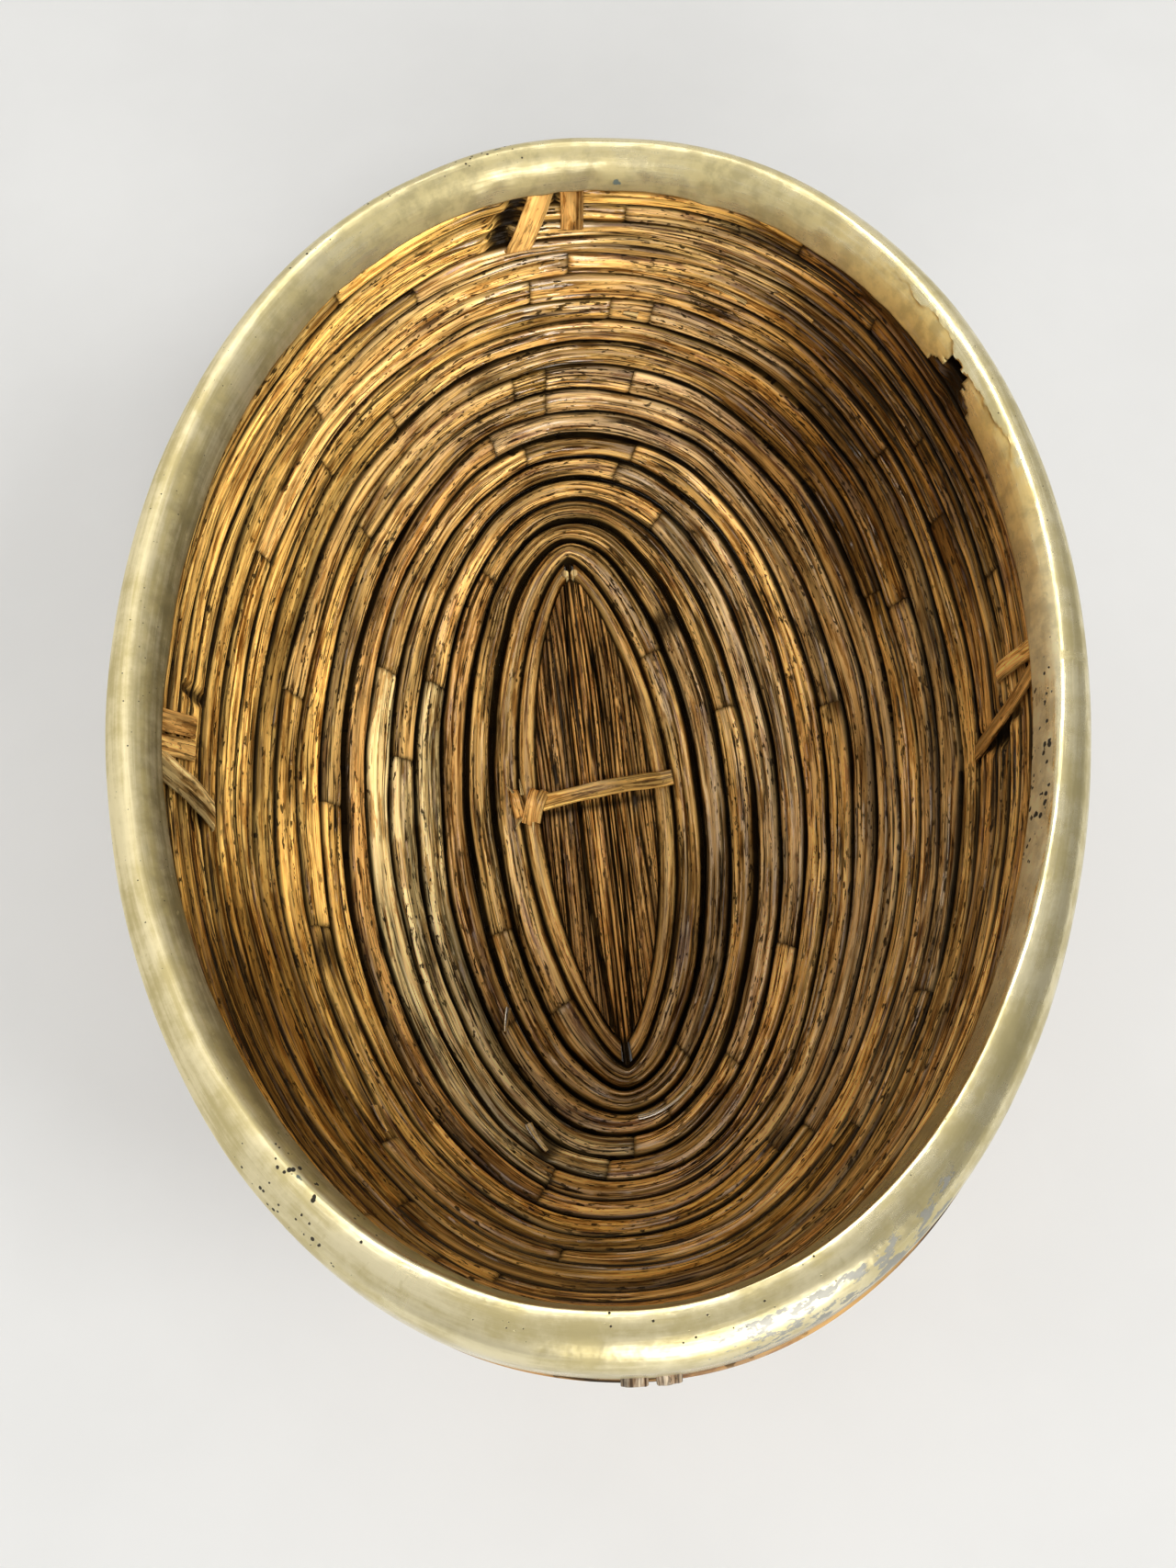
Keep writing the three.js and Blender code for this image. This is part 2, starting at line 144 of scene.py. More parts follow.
def squared_off(value: Array, power: float) -> Array:
    """Raises the size of a value to a power and keeps its sign."""
    return np.sign(value) * np.abs(value) ** power


def turn_from(angle: Array, middle: float) -> Array:
    """Shortest turn, in radians, from a place given in degrees from the right-hand side."""
    return np.angle(np.exp(1j * (angle - math.radians(middle))))


def running_sum(steps: Array) -> Array:
    """Adds up steps, from 0."""
    return np.concatenate([[0], np.cumsum(steps)])


def lengths_along(path: Array) -> Array:
    """Length along a path at each of its points."""
    return running_sum(np.linalg.norm(np.diff(path, axis=0), axis=1))


def unit(vectors: Array) -> Array:
    """Makes each vector one unit long."""
    return vectors / np.linalg.norm(vectors, axis=-1, keepdims=True)


def turned(x: Array, y: Array, z: Array, angle: Array | float) -> Array:
    """Points turned about the basket's upright axis."""
    cos, sin = np.cos(angle), np.sin(angle)
    return np.stack([x * cos - y * sin, x * sin + y * cos, z + 0 * x], axis=-1)


def opaque(tint: Array) -> Array:
    """Adds a full alpha to each colour of a column."""
    return np.hstack([tint, np.ones((len(tint), 1))])


def shaded(tone: Tone, level: Array) -> Array:
    """A tone at uneven levels, with a full alpha."""
    return opaque(np.outer(level, tone.value))


def add_object(name: str, data: bpy.types.ID) -> bpy.types.Object:
    """Puts a new object into the scene.

    Args:
        name: Its name.
        data: Its mesh, lamp or camera.

    Returns:
        The object.
    """
    made = bpy.data.objects.new(name, data)
    bpy.context.scene.collection.objects.link(made)
    return made


@dataclass(frozen=True)
class Bowl:
    """The wall's middle surface, in millimetres, from the edge of the centre to the mouth."""

    mouth_length: float = 352
    mouth_width: float = 260
    wall_rise: float = 136
    side_sweep: float = math.radians(95)
    end_sweep: float = math.radians(106)
    mouth_roundness: float = 0.47
    mouth_egg: float = 0.03
    mouth_sway: float = 5
    tip_roundness: float = 0.72
    lens_fade: float = 22
    skew_fade: float = 1.5
    lens_length: float = 210
    lens_width: float = 60
    lens_skew: float = math.radians(8)
    half_cane: float = 3
    lower_courses: int = 14
    upper_courses: int = 5
    upper_ratio: float = 0.75
    probe: float = 0.5
    probe_angle: float = 0.01
    sweep_samples: int = 401
    ring_samples: int = 120
    fewest_samples: int = 24

    @property
    def side_reach(self) -> float:
        """Reach of the side profile across the bowl."""
        return (self.mouth_width - self.lens_width) / 2 / math.sin(self.side_sweep)

    @property
    def end_reach(self) -> float:
        """Reach of the end profile along the bowl."""
        return (self.mouth_length - self.lens_length) / 2 / math.sin(self.end_sweep)

    @property
    def rise_radius(self) -> float:
        """Radius of the wall's rise."""
        return self.wall_rise / (1 - math.cos(self.side_sweep))

    def sweep_table(self) -> tuple[Array, Array]:
        """Length along the side wall against its sweep.

        Returns:
            Lengths and sweeps, in step.
        """
        sweep = np.linspace(0, self.side_sweep, self.sweep_samples)
        across, up = self.side_reach * np.sin(sweep), -self.rise_radius * np.cos(sweep)
        steps = np.hypot(np.diff(across), np.diff(up))
        return running_sum(steps), sweep

    @property
    def wall_arc(self) -> float:
        """Length of the side wall from the centre's edge to the mouth."""
        return float(self.sweep_table()[0][-1])

    @property
    def course_width(self) -> float:
        """Width of a lower course."""
        return self.wall_arc / (self.lower_courses + self.upper_courses * self.upper_ratio)

    def course_top(self, course: int) -> float:
        """Length along the wall at the upper edge of a course, counted from 1 at the centre."""
        lower = min(course, self.lower_courses)
        return self.course_width * (lower + (course - lower) * self.upper_ratio)

    def point(self, arc: Array, angle: Array) -> Array:
        """A point on the wall's middle.

        Args:
            arc: Length along the wall.
            angle: Angle round the bowl, from the right-hand side.

        Returns:
            Points in millimetres.
        """
        left = 1 - arc / self.wall_arc
        sweep = np.interp(arc, *self.sweep_table())
        half_width = self.lens_width / 2 + self.side_reach * np.sin(sweep)
        end = np.sin(sweep * self.end_sweep / self.side_sweep)
        half_length = self.lens_length / 2 + self.end_reach * end
        round_off = (self.mouth_roundness
                     + (self.tip_roundness - self.mouth_roundness) * left ** self.lens_fade)
        across, ahead = np.cos(angle), np.sin(angle)
        egg = 1 + self.mouth_egg * (1 - left) * ahead
        sway = self.mouth_sway * (1 - left) * np.minimum(0, ahead) ** 2
        x = half_width * egg * np.sign(across) * np.abs(across) ** (2 * round_off) + sway
        y = half_length * ahead
        z = self.half_cane + self.rise_radius * (1 - np.cos(sweep))
        skew = self.lens_skew * left ** self.skew_fade
        return turned(x, y, z, skew)

    def place(self, arc: Array, out: Array, angle: Array) -> Array:
        """A point of the wall's section.

        Args:
            arc: Length along the wall, which may run past its edges.
            out: Distance from the wall's middle, away from the bowl.
            angle: Angle round the bowl.

        Returns:
            Points in millimetres.
        """
        arc, out, angle = np.broadcast_arrays(np.asarray(arc, float), out, angle)
        on_wall = np.clip(arc, 0, self.wall_arc)
        up = unit(self.point(np.minimum(on_wall + self.probe, self.wall_arc), angle)
                  - self.point(np.maximum(on_wall - self.probe, 0), angle))
        along = (self.point(on_wall, angle + self.probe_angle)
                 - self.point(on_wall, angle - self.probe_angle))
        outward = unit(np.cross(along, up))
        beyond = (arc - on_wall)[..., None]
        return self.point(on_wall, angle) + outward * out[..., None] + up * beyond

    def ring(self, arc: float, start: float, end: float) -> tuple[Array, Array]:
        """Length round one course between two angles.

        Args:
            arc: Length along the wall.
            start: First angle.
            end: Last angle, above the first.

        Returns:
            Lengths from the first angle, and the angles, in step.
        """
        samples = max(self.fewest_samples, int((end - start) * self.ring_samples))
        angles = np.linspace(start, end, samples)
        return lengths_along(self.point(np.full_like(angles, arc), angles)), angles


@dataclass
class Blank:
    """A straight closed tube with capped ends, to be bent into a strip."""

    sections: int
    stations: int
    face_share: float = 0.7
    mesh: bmesh.types.BMesh = field(init=False)

    def __post_init__(self) -> None:
        """Makes the tube from a capped cylinder cut along its length."""
        self.mesh = bmesh.new()
        bmesh.ops.create_cone(self.mesh, cap_ends=True, cap_tris=False, segments=self.sections,
                              radius1=1, radius2=1, depth=1)
        long_edges = [e for e in self.mesh.edges if abs(e.verts[0].co.z - e.verts[1].co.z) > 0.5]
        bmesh.ops.subdivide_edges(self.mesh, edges=long_edges, cuts=self.stations - 2,
                                  use_grid_fill=True)
        self.mesh.verts.ensure_lookup_table()

    def places(self) -> tuple[Array, Array]:
        """Where each point of the tube lies.

        Returns:
            Share of the length, and angle round the section with the face over the first half turn.
        """
        spots = np.array([v.co for v in self.mesh.verts])
        share = spots[:, 2] + 0.5
        turn = np.mod(np.arctan2(spots[:, 1], spots[:, 0]) / TURN + 1 / self.sections / 2, 1)
        face = np.pi * turn / self.face_share
        back = np.pi + np.pi * (turn - self.face_share) / (1 - self.face_share)
        return share, np.where(turn < self.face_share, face, back)


@dataclass
class Piece:
    """A mesh that is gathered from bent strips and then dressed."""

    name: str
    slot: str
    nodes: tuple[str, ...]
    values: dict[str, list[Array]] = field(default_factory=dict)
    mesh: bmesh.types.BMesh = field(default_factory=bmesh.new)

    def add(self, blank: bmesh.types.BMesh, points: Array, **values: Array | float) -> None:
        """Adds one bent strip.

        Args:
            blank: The strip's mesh, whose points are replaced and which is used up.
            points: Place of each point, in millimetres.
            values: Named values: a number or a colour for each point, or one number for all.
        """
        part = bpy.data.meshes.new(self.name + "_part")
        blank.to_mesh(part)
        blank.free()
        part.vertices.foreach_set("co", (points * MM).astype(np.float32).ravel())
        self.mesh.from_mesh(part)
        bpy.data.meshes.remove(part)
        for key, value in values.items():
            each = value if np.ndim(value) else np.full(len(points), value)
            self.values.setdefault(key, []).append(np.asarray(each, np.float32))

    def finish(self, material: bpy.types.Material, sharp: float = 50) -> bpy.types.Object:
        """Turns the gathered strips into a piece of the basket.

        Args:
            material: The finish.
            sharp: Angle in degrees above which an edge stays crisp.

        Returns:
            The finished object, riding on the basket.
        """
        bmesh.ops.recalc_face_normals(self.mesh, faces=self.mesh.faces)
        for face in self.mesh.faces:
            face.smooth = True
        limit = math.radians(sharp)
        for edge in self.mesh.edges:
            edge.smooth = edge.calc_face_angle(0.0) < limit
        data = bpy.data.meshes.new(self.name)
        self.mesh.to_mesh(data)
        self.mesh.free()
        for key, parts in self.values.items():
            value = np.concatenate(parts)
            if value.ndim == 2:
                layer = data.color_attributes.new(key, "FLOAT_COLOR", "POINT")
                layer.data.foreach_set("color", value.ravel())
            else:
                data.attributes.new(key, "FLOAT", "POINT").data.foreach_set("value", value)
        data.materials.append(material)
        made = add_object(self.name, data)
        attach(made, "root")
        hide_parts(*self.nodes)
        LOG.info("%s: %d faces", self.name, len(data.polygons))
        return made


class Board:
    """A node tree with short ways to add nodes."""

    def __init__(self, tree: bpy.types.NodeTree) -> None:
        """Empties the tree that is to be filled."""
        self.tree = tree
        tree.nodes.clear()

    def node(self, kind: str, **settings: object) -> bpy.types.Node:
        """Adds a node.

        Args:
            kind: Blender's name of the node.
            settings: Its properties.

        Returns:
            The node.
        """
        made = self.tree.nodes.new(kind)
        for key, value in settings.items():
            setattr(made, key, value)
        return made

    def feed(self, socket: Socket, value: object) -> None:
        """Links a socket, or sets its value.

        Args:
            socket: Input to fill.
            value: Output socket, number or colour.
        """
        if isinstance(value, bpy.types.NodeSocket):
            self.tree.links.new(value, socket)
        else:
            socket.default_value = value

    def filled(self, made: bpy.types.Node, *values: object, **named: object) -> bpy.types.Node:
        """Fills the inputs of a node.

        Args:
            made: The node.
            values: What goes into its inputs, in order.
            named: What goes into its inputs, by their names.

        Returns:
            The node.
        """
        for socket, value in zip(made.inputs, values):
            self.feed(socket, value)
        for name, value in named.items():
            self.feed(made.inputs[name], value)
        return made

    def math(self, operation: str, *values: object) -> Socket:
        """Works out some values with a Math node."""
        return self.filled(self.node("ShaderNodeMath", operation=operation), *values).outputs[0]

    def fit(self, value: Socket, *ends: float) -> Socket:
        """Maps a range smoothly to another: both ends of the first, then both of the second."""
        made = self.node("ShaderNodeMapRange", interpolation_type="SMOOTHSTEP")
        return self.filled(made, value, *ends).outputs[0]

    def vector(self, x: object, y: object, z: object) -> Socket:
        """Joins three numbers to a vector."""
        return self.filled(self.node("ShaderNodeCombineXYZ"), x, y, z).outputs[0]

    def noise(self, place: Socket, scale: float = 1.0, detail: float = 2.0,
              rough: float = 0.5) -> Socket:
        """Noise from 0 to 1, by its bumps a unit, its octaves and the share that each octave keeps."""
        made = self.node("ShaderNodeTexNoise")
        return self.filled(made, Vector=place, Scale=scale, Detail=detail, Roughness=rough).outputs["Fac"]

    def mix(self, share: object, first: object, second: object, blend: str = "MIX") -> Socket:
        """Mixes two colours by the share of the second."""
        made = self.node("ShaderNodeMix", data_type="RGBA", blend_type=blend)
        return self.filled(made, Factor=share, A=first, B=second).outputs["Result"]

    def value_of(self, name: str) -> Socket:
        """A named number that the piece carries at each point."""
        return self.node("ShaderNodeAttribute", attribute_name=name).outputs["Fac"]

    def colour_of(self, name: str) -> Socket:
        """A named colour that the piece carries at each point."""
        return self.node("ShaderNodeAttribute", attribute_name=name).outputs["Color"]

    def grey(self, level: Socket) -> Socket:
        """Makes a grey of one level."""
        return self.vector(level, level, level)

    def blend(self, first: Socket, second: Socket, share: float) -> Socket:
        """Mixes two numbers by the share of the second."""
        return self.math("ADD", self.math("MULTIPLY", first, 1 - share),
                         self.math("MULTIPLY", second, share))

    def bump(self, height: Socket, strength: float, distance: float) -> Socket:
        """Normal of a relief, by the share of it that shows and its depth in metres."""
        made = self.node("ShaderNodeBump")
        return self.filled(made, Strength=strength, Distance=distance, Height=height).outputs["Normal"]

    def surface(self, inputs: dict[str, object]) -> None:
        """Ends a material with a Principled BSDF, whose inputs are given by name."""
        shader = self.filled(self.node("ShaderNodeBsdfPrincipled"), **inputs)
        self.filled(self.node("ShaderNodeOutputMaterial"), Surface=shader.outputs["BSDF"])


def new_material(name: str) -> tuple[bpy.types.Material, Board]:
    """Starts a material.

    Args:
        name: Its name.

    Returns:
        The material and its empty board.
    """
    material = bpy.data.materials.new(name)
    material.use_nodes = True
    return material, Board(material.node_tree)


def rgba(colour: Colour) -> tuple[float, float, float, float]:
    """Adds a full alpha to a colour."""
    return (*colour, 1.0)


@dataclass(frozen=True)
class Layer:
    """One layer of fibre noise: how fine it is along and across a strip, its seed and its octaves."""

    along: float
    across: float
    seed: float
    detail: float
    rough: float


class FibreGrain:
    """The rush's fibre as a shader group: streaks, fine lines, specks and blotches along a strip."""

    NAME = "fibre_grain"
    INPUTS = (("Along", 0.0), ("Across", 0.0), ("Seed", 0.0), ("Fineness", 1.0))
    OUTPUTS = ("Streak", "Line", "Speck", "Blotch", "Toast", "Height")
    STREAK = Layer(17, 2.7, 17, 4, 0.62)
    LINE = Layer(26, 7.0, 11, 2, 0.5)
    DOTS = Layer(260, 5.0, 5, 2, 0.55)
    DASHES = Layer(75, 6.0, 23, 2, 0.55)
    CROWD = Layer(20, 1.2, 9, 3, 0.6)
    SWELL = Layer(15, 1.0, 41, 2, 0.5)
    BLOTCH = Layer(13, 0.9, 31, 4, 0.6)
    TOAST = Layer(46, 1.7, 53, 4, 0.64)
    DOT_FIT: Fit = (0.58, 0.64, 0, 1)
    DASH_FIT: Fit = (0.59, 0.65, 0, 1)
    CROWD_FIT: Fit = (0.38, 0.54, 0, 1)
    SWELL_FIT: Fit = (0.4, 0.58, 0.4, 1.0)
    LINE_MIDDLE = 0.5
    LINE_RELIEF = 0.55
    SPECK_RELIEF = 0.12

    @classmethod
    def group(cls) -> bpy.types.NodeTree:
        """Builds the group once.

        Returns:
            The group.
        """
        ready = bpy.data.node_groups.get(cls.NAME)
        if ready:
            return ready
        tree = bpy.data.node_groups.new(cls.NAME, "ShaderNodeTree")
        for name, value in cls.INPUTS:
            socket = tree.interface.new_socket(name, in_out="INPUT", socket_type="NodeSocketFloat")
            socket.default_value = value
        for name in cls.OUTPUTS:
            tree.interface.new_socket(name, in_out="OUTPUT", socket_type="NodeSocketFloat")
        board = Board(tree)
        given = board.node("NodeGroupInput").outputs
        fine = board.math("MULTIPLY", given["Across"], given["Fineness"])

        def noise(layer: Layer) -> Socket:
            """Noise stretched along the strip."""
            place = board.vector(board.math("MULTIPLY", given["Along"], layer.along),
                                 board.math("MULTIPLY", fine, layer.across),
                                 board.math("MULTIPLY", given["Seed"], layer.seed))
            return board.noise(place, detail=layer.detail, rough=layer.rough)

        streak = noise(cls.STREAK)
        line = board.math("SUBTRACT", noise(cls.LINE), cls.LINE_MIDDLE)
        swell = board.fit(noise(cls.SWELL), *cls.SWELL_FIT)
        line = board.math("MULTIPLY_ADD", line, swell, cls.LINE_MIDDLE)
        dots = board.fit(noise(cls.DOTS), *cls.DOT_FIT)
        dashes = board.fit(noise(cls.DASHES), *cls.DASH_FIT)
        crowd = board.fit(noise(cls.CROWD), *cls.CROWD_FIT)
        speck = board.math("MULTIPLY", board.math("MAXIMUM", dots, dashes), crowd)
        height = board.blend(streak, line, cls.LINE_RELIEF)
        height = board.math("SUBTRACT", height, board.math("MULTIPLY", speck, cls.SPECK_RELIEF))
        results = (streak, line, speck, noise(cls.BLOTCH), noise(cls.TOAST), height)
        board.filled(board.node("NodeGroupOutput"), **dict(zip(cls.OUTPUTS, results)))
        return tree


@dataclass(frozen=True)
class CaneFinish:
    """Varnished rush: a tint carried by the strip, streaked, specked, dark in the joints, with painted shade
    along its edges and pale streaks brightened partly as painted sheen.
    """

    name: str
    fineness: float = 1.0
    deep: Colour = (0.24, 0.17, 0.1)
    deep_fit: Fit = (0.36, 0.48, 0, 1)
    pale: Colour = (1.52, 1.65, 1.78)
    pale_fit: Fit = (0.5, 0.62, 0, 1)
    thread_fit: Fit = (0.53, 0.6, 0, 0.85)
    blotch_fit: Fit = (0.36, 0.58, 0.47, 1.3)
    toast: Colour = (0.46, 0.34, 0.21)
    toast_fit: Fit = (0.52, 0.61, 0, 0.85)
    # The dirt colour also serves for the painted shade along the edges and in hollows.
    dirt: Colour = (0.006, 0.0035, 0.0018)
    line_span: Span = (0.38, 0.45)
    line_dark: float = 0.9
    edge_start: float = 0.66
    edge_shade: float = 0.98
    edge_ragged: float = 0.3
    speck_dark: float = 0.92
    dry_fit: Fit = (0.36, 0.47, 0.6, 0)
    roughness: float = 0.42
    rough_span: Span = (0.35, 0.65)
    rough_more: float = 0.2
    rough_less: float = 0.06
    specular: float = 0.15
    warmth: Colour = (1.0, 0.76, 0.48)
    coat: float = 1.0
    coat_least: float = 0.02
    coat_span: Span = (0.1, 0.8)
    coat_roughness: float = 0.16
    coat_ior: float = 2.0
    bump: float = 0.8
    relief: float = 0.0007

    def build(self) -> bpy.types.Material:
        """Makes the material.

        Returns:
            The material.
        """
        material, board = new_material(self.name)
        grain = board.node("ShaderNodeGroup", node_tree=FibreGrain.group())
        across = board.value_of("across")
        board.filled(grain, Along=board.value_of("along"), Across=across, Seed=board.value_of("seed"),
                     Fineness=self.fineness)
        streak, line = grain.outputs["Streak"], grain.outputs["Line"]
        tint = board.colour_of("tint")
        shade = board.mix(1.0, tint, rgba(self.deep), "MULTIPLY")
        # Pale streaks are the rush's own colour, brightened partly as painted sheen.
        light = board.mix(1.0, tint, rgba(self.pale), "MULTIPLY")
        colour = board.mix(board.fit(streak, *self.deep_fit), shade, tint)
        colour = board.mix(board.fit(streak, *self.pale_fit), colour, light)
        colour = board.mix(board.fit(line, *self.thread_fit), colour, light)
        blotch = board.grey(board.fit(grain.outputs["Blotch"], *self.blotch_fit))
        colour = board.mix(1.0, colour, blotch, "MULTIPLY")
        scorched = board.mix(1.0, colour, rgba(self.toast), "MULTIPLY")
        colour = board.mix(board.fit(grain.outputs["Toast"], *self.toast_fit), colour, scorched)
        # Painted shade along the strip's long edges, where the courses meet.
        ragged = board.math("MULTIPLY", streak, self.edge_ragged)
        margin = board.math("ADD", board.math("ABSOLUTE", across), ragged)
        shift = self.edge_ragged / 2
        edge = board.fit(margin, self.edge_start + shift, 1 + shift, 0, self.edge_shade)
        dry = board.math("MAXIMUM", edge, board.fit(streak, *self.dry_fit))
        # The dirt colour darkens fibre lines, specks, the stain attribute (real stains plus painted shade in
        # hollows, splits and under the tie) and the painted edge shade.
        for share in (board.fit(line, *self.line_span, self.line_dark, 0),
                      board.math("MULTIPLY", grain.outputs["Speck"], self.speck_dark),
                      board.value_of("stain"), edge):
            colour = board.mix(share, colour, rgba(self.dirt))
            dry = board.math("MAXIMUM", dry, share)
        varnish = board.fit(dry, *self.coat_span, self.coat, self.coat_least)
        board.surface({
            "Base Color": colour,
            "Roughness": board.fit(streak, *self.rough_span, self.roughness + self.rough_more,
                                   self.roughness - self.rough_less),
            "Normal": board.bump(grain.outputs["Height"], self.bump, self.relief),
            "Specular IOR Level": self.specular,
            "Specular Tint": rgba(self.warmth),
            "Coat Weight": board.math("MULTIPLY", varnish, board.value_of("gloss")),
            "Coat Roughness": self.coat_roughness,
            "Coat IOR": self.coat_ior,
        })
        return material


@dataclass(frozen=True)
class BrassFinish:
    """Pale old brass: dressed by hand, pitted, matt inside under a film whose colour is partly painted light
    and reflection, and worn to grey in places.
    """

    name: str = "old_brass"
    bright: Colour = (0.85, 0.76, 0.49)
    olive: Colour = (0.62, 0.53, 0.27)
    worn: Colour = (0.36, 0.355, 0.32)
    pit: Colour = (0.03, 0.025, 0.015)
    green: Colour = (0.1, 0.15, 0.15)
    roughness: float = 0.2
    cloud_roughness: float = 0.15
    dull_roughness: float = 0.8
    bare_roughness: float = 0.5
    film_roughness: float = 0.45
    matt_roughness: float = 0.62
    cloud: Noise = (60, 5, 0.65)
    cloud_span: Span = (0.4, 0.6)
    lines: Noise = (20, 22, 0.0, 5)
    lines_rough: float = 0.65
    line_share: float = 0.4
    film_fit: Fit = (0.42, 0.62, 1.0, 0.6)
    mottle: Noise = (160, 4, 0.6)
    mottle_fit: Fit = (0.36, 0.62, 0.8, 1.15)
    scuffs: Noise = (120, 20, 3.0, 7)
    bare_fit: Fit = (1.0, 1.04, 0, 0.95)
    pit_scale: float = 520
    pit_crowd: Noise = (300, 1)
    pit_keep: Fit = (0.46, 0.62, 0, 1)
    pit_size: float = 0.4
    pit_fit: Fit = (0.0, 0.08, 0, 1)
    pit_relief: float = 0.6
    crust: Noise = (420, 4, 0.6)
    green_fit: Fit = (1.02, 1.2, 0, 0.9)
    scratches: Noise = (260, 9, 8.0, 2)
    scratch_fit: Fit = (0.66, 0.7, 0, 0.35)
    beaten: Noise = (120, 3)
    beaten_lines: float = 0.25
    bump: float = 0.45
    relief: float = 0.0009

    def build(self) -> bpy.types.Material:
        """Makes the material.

        Returns:
            The material.
        """
        material, board = new_material(self.name)
        spot = board.node("ShaderNodeTexCoord").outputs["Object"]
        along, fold = board.value_of("along"), board.value_of("across")

        def drawn(ahead: float, over: float, shift: float, detail: float) -> Socket:
            """Noise stretched along the rim."""
            place = board.vector(board.math("MULTIPLY", along, ahead),
                                 board.math("MULTIPLY", fold, over), shift)
            return board.noise(place, 1, detail, self.lines_rough)

        lines = drawn(*self.lines)
        mixed = board.blend(board.noise(spot, *self.cloud), lines, self.line_share)
        colour = board.mix(board.fit(mixed, *self.cloud_span, 0, 1), rgba(self.olive), rgba(self.bright))
        film = board.math("MULTIPLY", board.value_of("film"), board.fit(mixed, *self.film_fit))
        mottle = board.grey(board.fit(board.noise(spot, *self.mottle), *self.mottle_fit))
        # The film's colour is carried by the piece: partly real film, partly painted light and reflection.
        patina_and_light = board.mix(1.0, board.colour_of("patina_and_light"), mottle, "MULTIPLY")
        colour = board.mix(film, colour, patina_and_light)
        scuffed = board.math("ADD", drawn(*self.scuffs), board.value_of("worn"))
        bare = board.fit(scuffed, *self.bare_fit)
        colour = board.mix(bare, colour, rgba(self.worn))
        holes = board.node("ShaderNodeTexVoronoi", feature="F1")
        board.filled(holes, Vector=spot, Scale=self.pit_scale)
        keep = board.fit(board.noise(spot, *self.pit_crowd), *self.pit_keep)
        size = board.math("MULTIPLY", board.value_of("pitting"), keep)
        size = board.math("MULTIPLY", size, self.pit_size)
        pits = board.fit(board.math("SUBTRACT", size, holes.outputs["Distance"]), *self.pit_fit)
        colour = board.mix(pits, colour, rgba(self.pit))
        crust = board.math("ADD", board.noise(spot, *self.crust), board.value_of("verdigris"))
        green = board.fit(crust, *self.green_fit)
        colour = board.mix(green, colour, rgba(self.green))
        scratch = board.fit(drawn(*self.scratches), *self.scratch_fit)
        colour = board.mix(scratch, colour, rgba(self.olive))
        dull = board.math("MAXIMUM", pits, green)
        oxide = board.math("MAXIMUM", dull, board.math("MULTIPLY", film, board.value_of("chalk")))
        rough = board.fit(mixed, *self.cloud_span, self.roughness + self.cloud_roughness, self.roughness)
        for share, least in ((dull, self.dull_roughness), (bare, self.bare_roughness),
                             (film, self.film_roughness), (board.value_of("dull"), self.matt_roughness)):
            rough = board.math("MAXIMUM", rough, board.math("MULTIPLY", share, least))
        height = board.blend(board.noise(spot, *self.beaten), lines, self.beaten_lines)
        height = board.math("SUBTRACT", height, board.math("MULTIPLY", pits, self.pit_relief))
        board.surface({
            "Base Color": colour,
            "Metallic": board.math("SUBTRACT", 1.0, oxide),
            "Roughness": rough,
            "Normal": board.bump(height, self.bump, self.relief),
        })
        return material


@dataclass(frozen=True)
class FloorFinish:
    """Plain pale surface under the basket."""

    name: str = "pale_floor"
    pale: Colour = (0.86, 0.86, 0.845)
    shade: Colour = (0.835, 0.835, 0.82)
    cloud: Noise = (7, 4, 0.6)
    cloud_fit: Fit = (0.35, 0.65, 0, 1)
    roughness: float = 0.75

    def build(self) -> bpy.types.Material:
        """Makes the material.

        Returns:
            The material.
        """
        material, board = new_material(self.name)
        spot = board.node("ShaderNodeTexCoord").outputs["Object"]
        cloud = board.fit(board.noise(spot, *self.cloud), *self.cloud_fit)
        board.surface({
            "Base Color": board.mix(cloud, rgba(self.pale), rgba(self.shade)),
            "Roughness": self.roughness,
        })
        return material


@dataclass(frozen=True)
class Spot:
    """A dark stain on one course, or a hollow whose darkness is painted shade."""

    course: int
    angle: float
    length: float
    dark: float
    depth: float = 0.0


@dataclass(frozen=True)
class Gap:
    """A place where the dark gap above a course opens."""

    below: int
    width: float
    reach: float
    middle: float


@dataclass(frozen=True)
class DarkVarnishAndShade:
    """A side of the wall that is darker, partly from old varnish and partly as painted shade, from one course
    up to another.
    """

    middle: float
    reach: float
    low: float
    high: float
    share: float


@dataclass(frozen=True)
class Chip:
    """A flake of rush that has come up from its course."""

    course: int
    angle: float
    length: float
    width: float
    tone: Tone
    lean: float = 0.0


